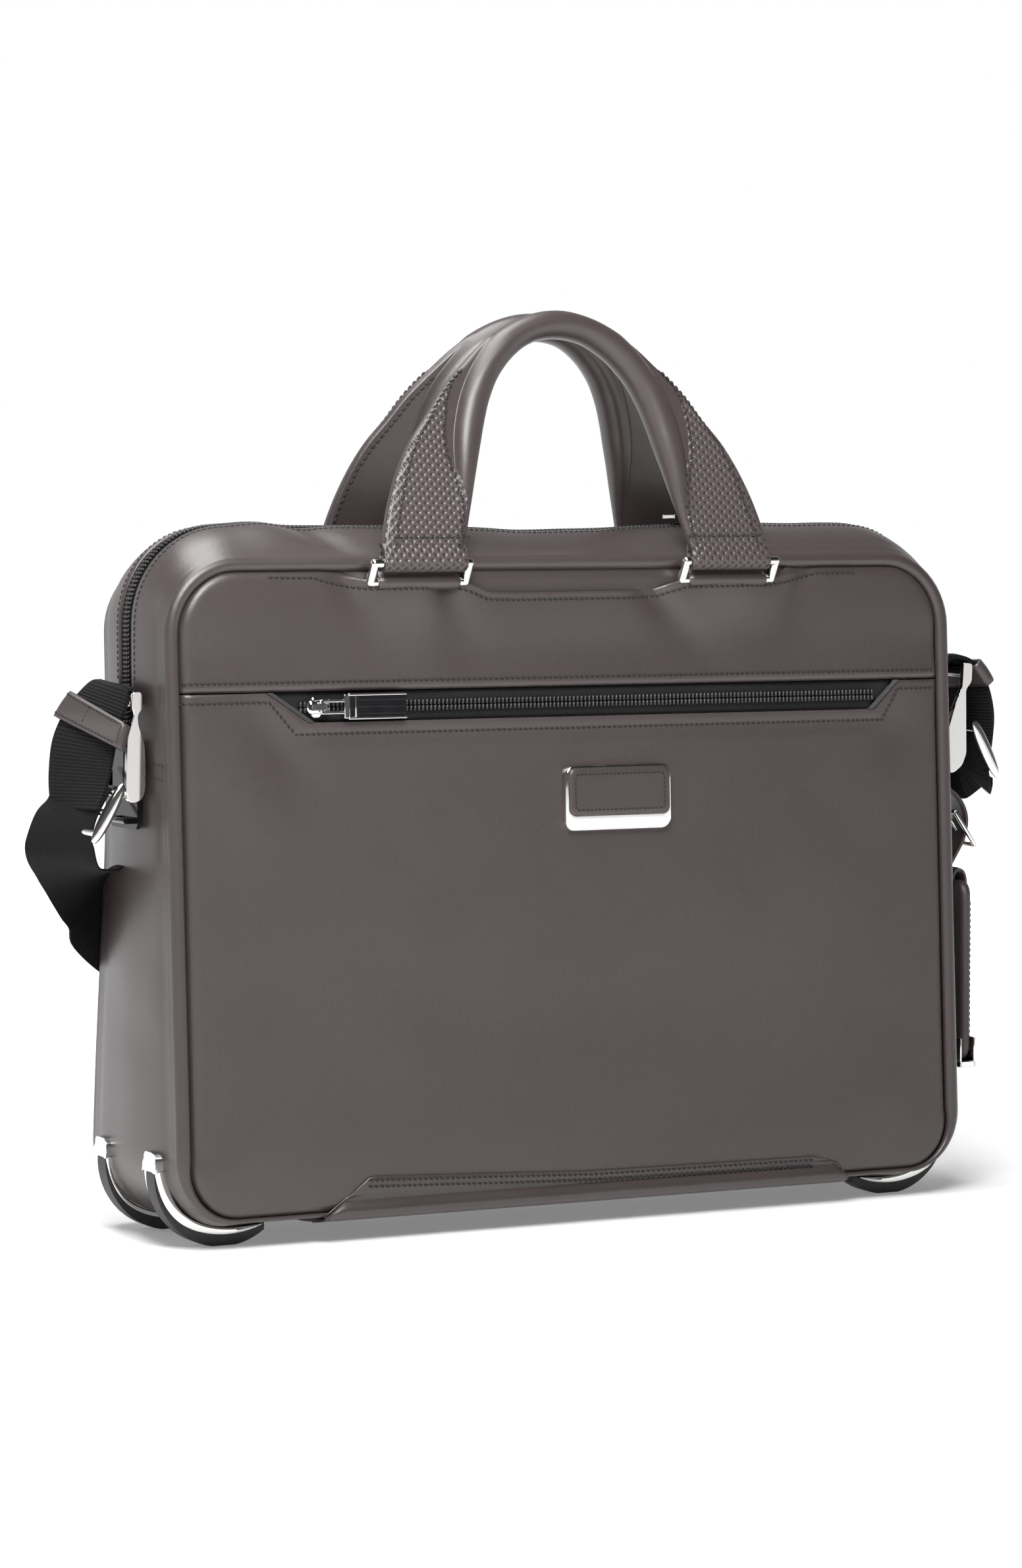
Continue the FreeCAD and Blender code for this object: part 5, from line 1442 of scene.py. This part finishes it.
def pull_parts(length, place, open_end):
    """Loop round the slider's pin and two rails beside the tab, with a cross bar where they start."""
    low, high = PIN_HIGH - 0.8, PIN_HIGH + 0.8
    parts = [brick((-0.7, 11.8), (y - 0.7, y + 0.7), (low, high)) for y in (-2.6, 2.6)]
    parts.append(brick((-0.8, 0.8), (-3.2, 3.2), (low, high)))
    parts.append(brick((10.4, 13.2), (-5.3, 5.3), (low, high + 0.1)))
    parts.append(brick((15.6, 16.5), (-5.3, 5.3), (low, high + 0.15)))
    for y in (-5.2, 5.2):
        parts.append(brick((12.4, length), (y - 0.6, y + 0.6), (low - 0.1, high + 0.3)))
    if not open_end:
        parts.append(brick((length - 1.4, length), (-5.3, 5.3), (low, high + 0.2)))
    return [mapped(part, place) for part in parts]


def insert_parts(length, place):
    """Black tab between the rails, with ribs along it."""
    low, high = PIN_HIGH - 0.6, PIN_HIGH + 0.45
    parts = [brick((12.8, length - 0.3), (-4.9, 4.9), (low, high))]
    parts += [brick((17.2, length - 0.5), (y - 0.55, y + 0.55), (high - 0.2, high + 0.45))
              for y in (-3.0, 0, 3.0)]
    return [mapped(part, place) for part in parts]


facing_out(solid("pocket_slider_metal", slider_parts(on_pocket), "nickel", "pocket_slider_body",
                 ["pocket_zip_slider"], bevel=0))
facing_out(solid("pocket_pull_metal", pull_parts(41, on_pocket, True), "nickel", "pocket_pull_body",
                 ["pocket_zip_pull"], bevel=0.35))
facing_out(solid("pocket_pull_ribs", insert_parts(41, on_pocket), "gloss", "pocket_pull_body",
                 ["pocket_pull_insert"], bevel=0.2))
facing_out(solid("mouth_slider_metal", slider_parts(on_mouth), "nickel", "main_slider_body",
                 ["main_zip_slider"], bevel=0))
facing_out(solid("mouth_pull_metal", pull_parts(33, on_mouth, False) + insert_parts(33, on_mouth),
                 "nickel", "main_pull_body", ["main_zip_pull"], bevel=0.3))



# ------------------------------------------------------------------ lining inside the case
def pad(name, material, node, *box):
    """One crowned pad that stands for a node; box is what crowned takes."""
    return facing_out(piece(name, *crowned(*box), material, "case", [node]))


divider = pad("divider_lining", "lining", "laptop_divider", (-186, -3, 19), (186, 3, 285), 1, 14, 0.2, 7.0,
              40)
for edge in (-1, 1):
    stitch("case", [Vector((x, edge * 2.9, 279)) for x in range(-168, 169, 12)], (0, edge, 0), 3.4)
strap_line = [(Vector((0, 4.3 + 1.1 * math.sin(math.pi * k / 20), 284 - 164 * k / 20)), Vector((1, 0, 0)))
              for k in range(21)]
band("divider_strap", strap_line, 38, 1.5, "webbing_fine", "case", ["laptop_strap"])
organizer = [crowned((-170, -5.8, 10), (170, -4.2, 200), 1, 12, 0.1, 9.0, 40)]
for low_x, high_x, top in ((-168, -62, 108), (-58, 58, 130), (62, 168, 108)):
    organizer.append(crowned((low_x, -8.2, 12), (high_x, -5.7, top), 1, 8, 0.25, low_x, 22))
facing_out(solid("organizer_lining", [mapped(part, face_point) for part in organizer], "lining", "case",
                 ["organizer_panel"], bevel=0))
pad("base_stiffener", "board", "base_board", (-168, -37, 15.9), (168, 37, 18.4), 2, 10, 0.05, 2.0, 30)
pad("base_slab", "leather_dark", "base_panel", (-135, -37, 6.6), (135, 37, 13), 2, 12, 0.3, 4.0, 36)



# ------------------------------------------------------------------ luggage tag
def tag_strip(name, route, y, wide, thick, stands_for=()):
    """Leather strip through (x, z) points beside the case."""
    stations = [(Vector((x, y, z)), Vector((0, 1, 0))) for x, z in catmull(route, 4)]
    band(name, stations, wide, thick, "leather", "luggage_tag", stands_for)


TAG_STRAP = [(206.6, 187.2), (209.2, 189.4), (214, 189.6), (220.5, 186.5), (225.6, 180.5), (227.6, 173),
             (225.6, 164), (220.6, 155.5), (216.4, 148.5), (215.0, 141)]
tag_strip("tag_strap_leather", TAG_STRAP, -6, 13, 2.2, ["tag_strap"])
TAG_RETURN = [(206.4, 186), (207.8, 182.5), (211.2, 176), (213.6, 166), (213.8, 154), (213.4, 143)]
tag_strip("tag_strap_return", TAG_RETURN, -6, 13, 2.0)
high, low = Vector((219.0, 0, 177.6)), Vector((230.0, 0, 161.5))
buckle = [bar(end + Vector((0, -15.5, 0)), end + Vector((0, 3.5, 0)), 1.05) for end in (high, low)]
buckle += [bar(high + Vector((0, y, 0)), low + Vector((0, y, 0)), 1.05) for y in (-15, 3)]
buckle.append(bar(high + Vector((0, -6, 0)), low + Vector((0.6, -6, 0.6)), 0.8))
solid("tag_buckle_metal", buckle, "nickel", "luggage_tag", ["tag_buckle"], bevel=0)
sheath = [crowned((211.2, -34, 60.5), (217.2, 12, 146), 0, 7, 0.12, 11.0, 30)]
facing_out(solid("tag_sheath_leather", sheath, "leather_dark", "luggage_tag", ["tag_body"], bevel=0))
FLAP = [(212.6, 139), (212.2, 145), (213.6, 149.6), (216.8, 150.6), (219.2, 147.4), (220.0, 139),
        (220.4, 128), (221.4, 117)]
tag_strip("tag_flap_leather", FLAP, -9, 30, 2.0)
for y in (-31.5, 9.5):
    stitch("luggage_tag", [Vector((217.0, y, z)) for z in range(66, 142, 6)], (1, 0, 0), 2.8, 0.45)
for y in (-22, 4):
    stitch("luggage_tag", [Vector((221.4, y, z)) for z in (119, 126, 133, 140)], (1, 0, 0), 2.6, 0.4)
CORNER_SIDES = [((209.8, 211.0), (57.4, 71.6)), ((217.4, 218.6), (57.4, 71.6)), ((209.8, 218.6), (57.4, 60.4))]
corner = [brick(x, (-34.8, 12.8), z) for x, z in CORNER_SIDES]
facing_out(solid("tag_corner_metal", corner, "nickel", "luggage_tag", ["tag_corner"], bevel=0.5))

for group, (points, faces) in STITCHES.items():
    piece("stitches_" + group, points, faces, "thread", group)
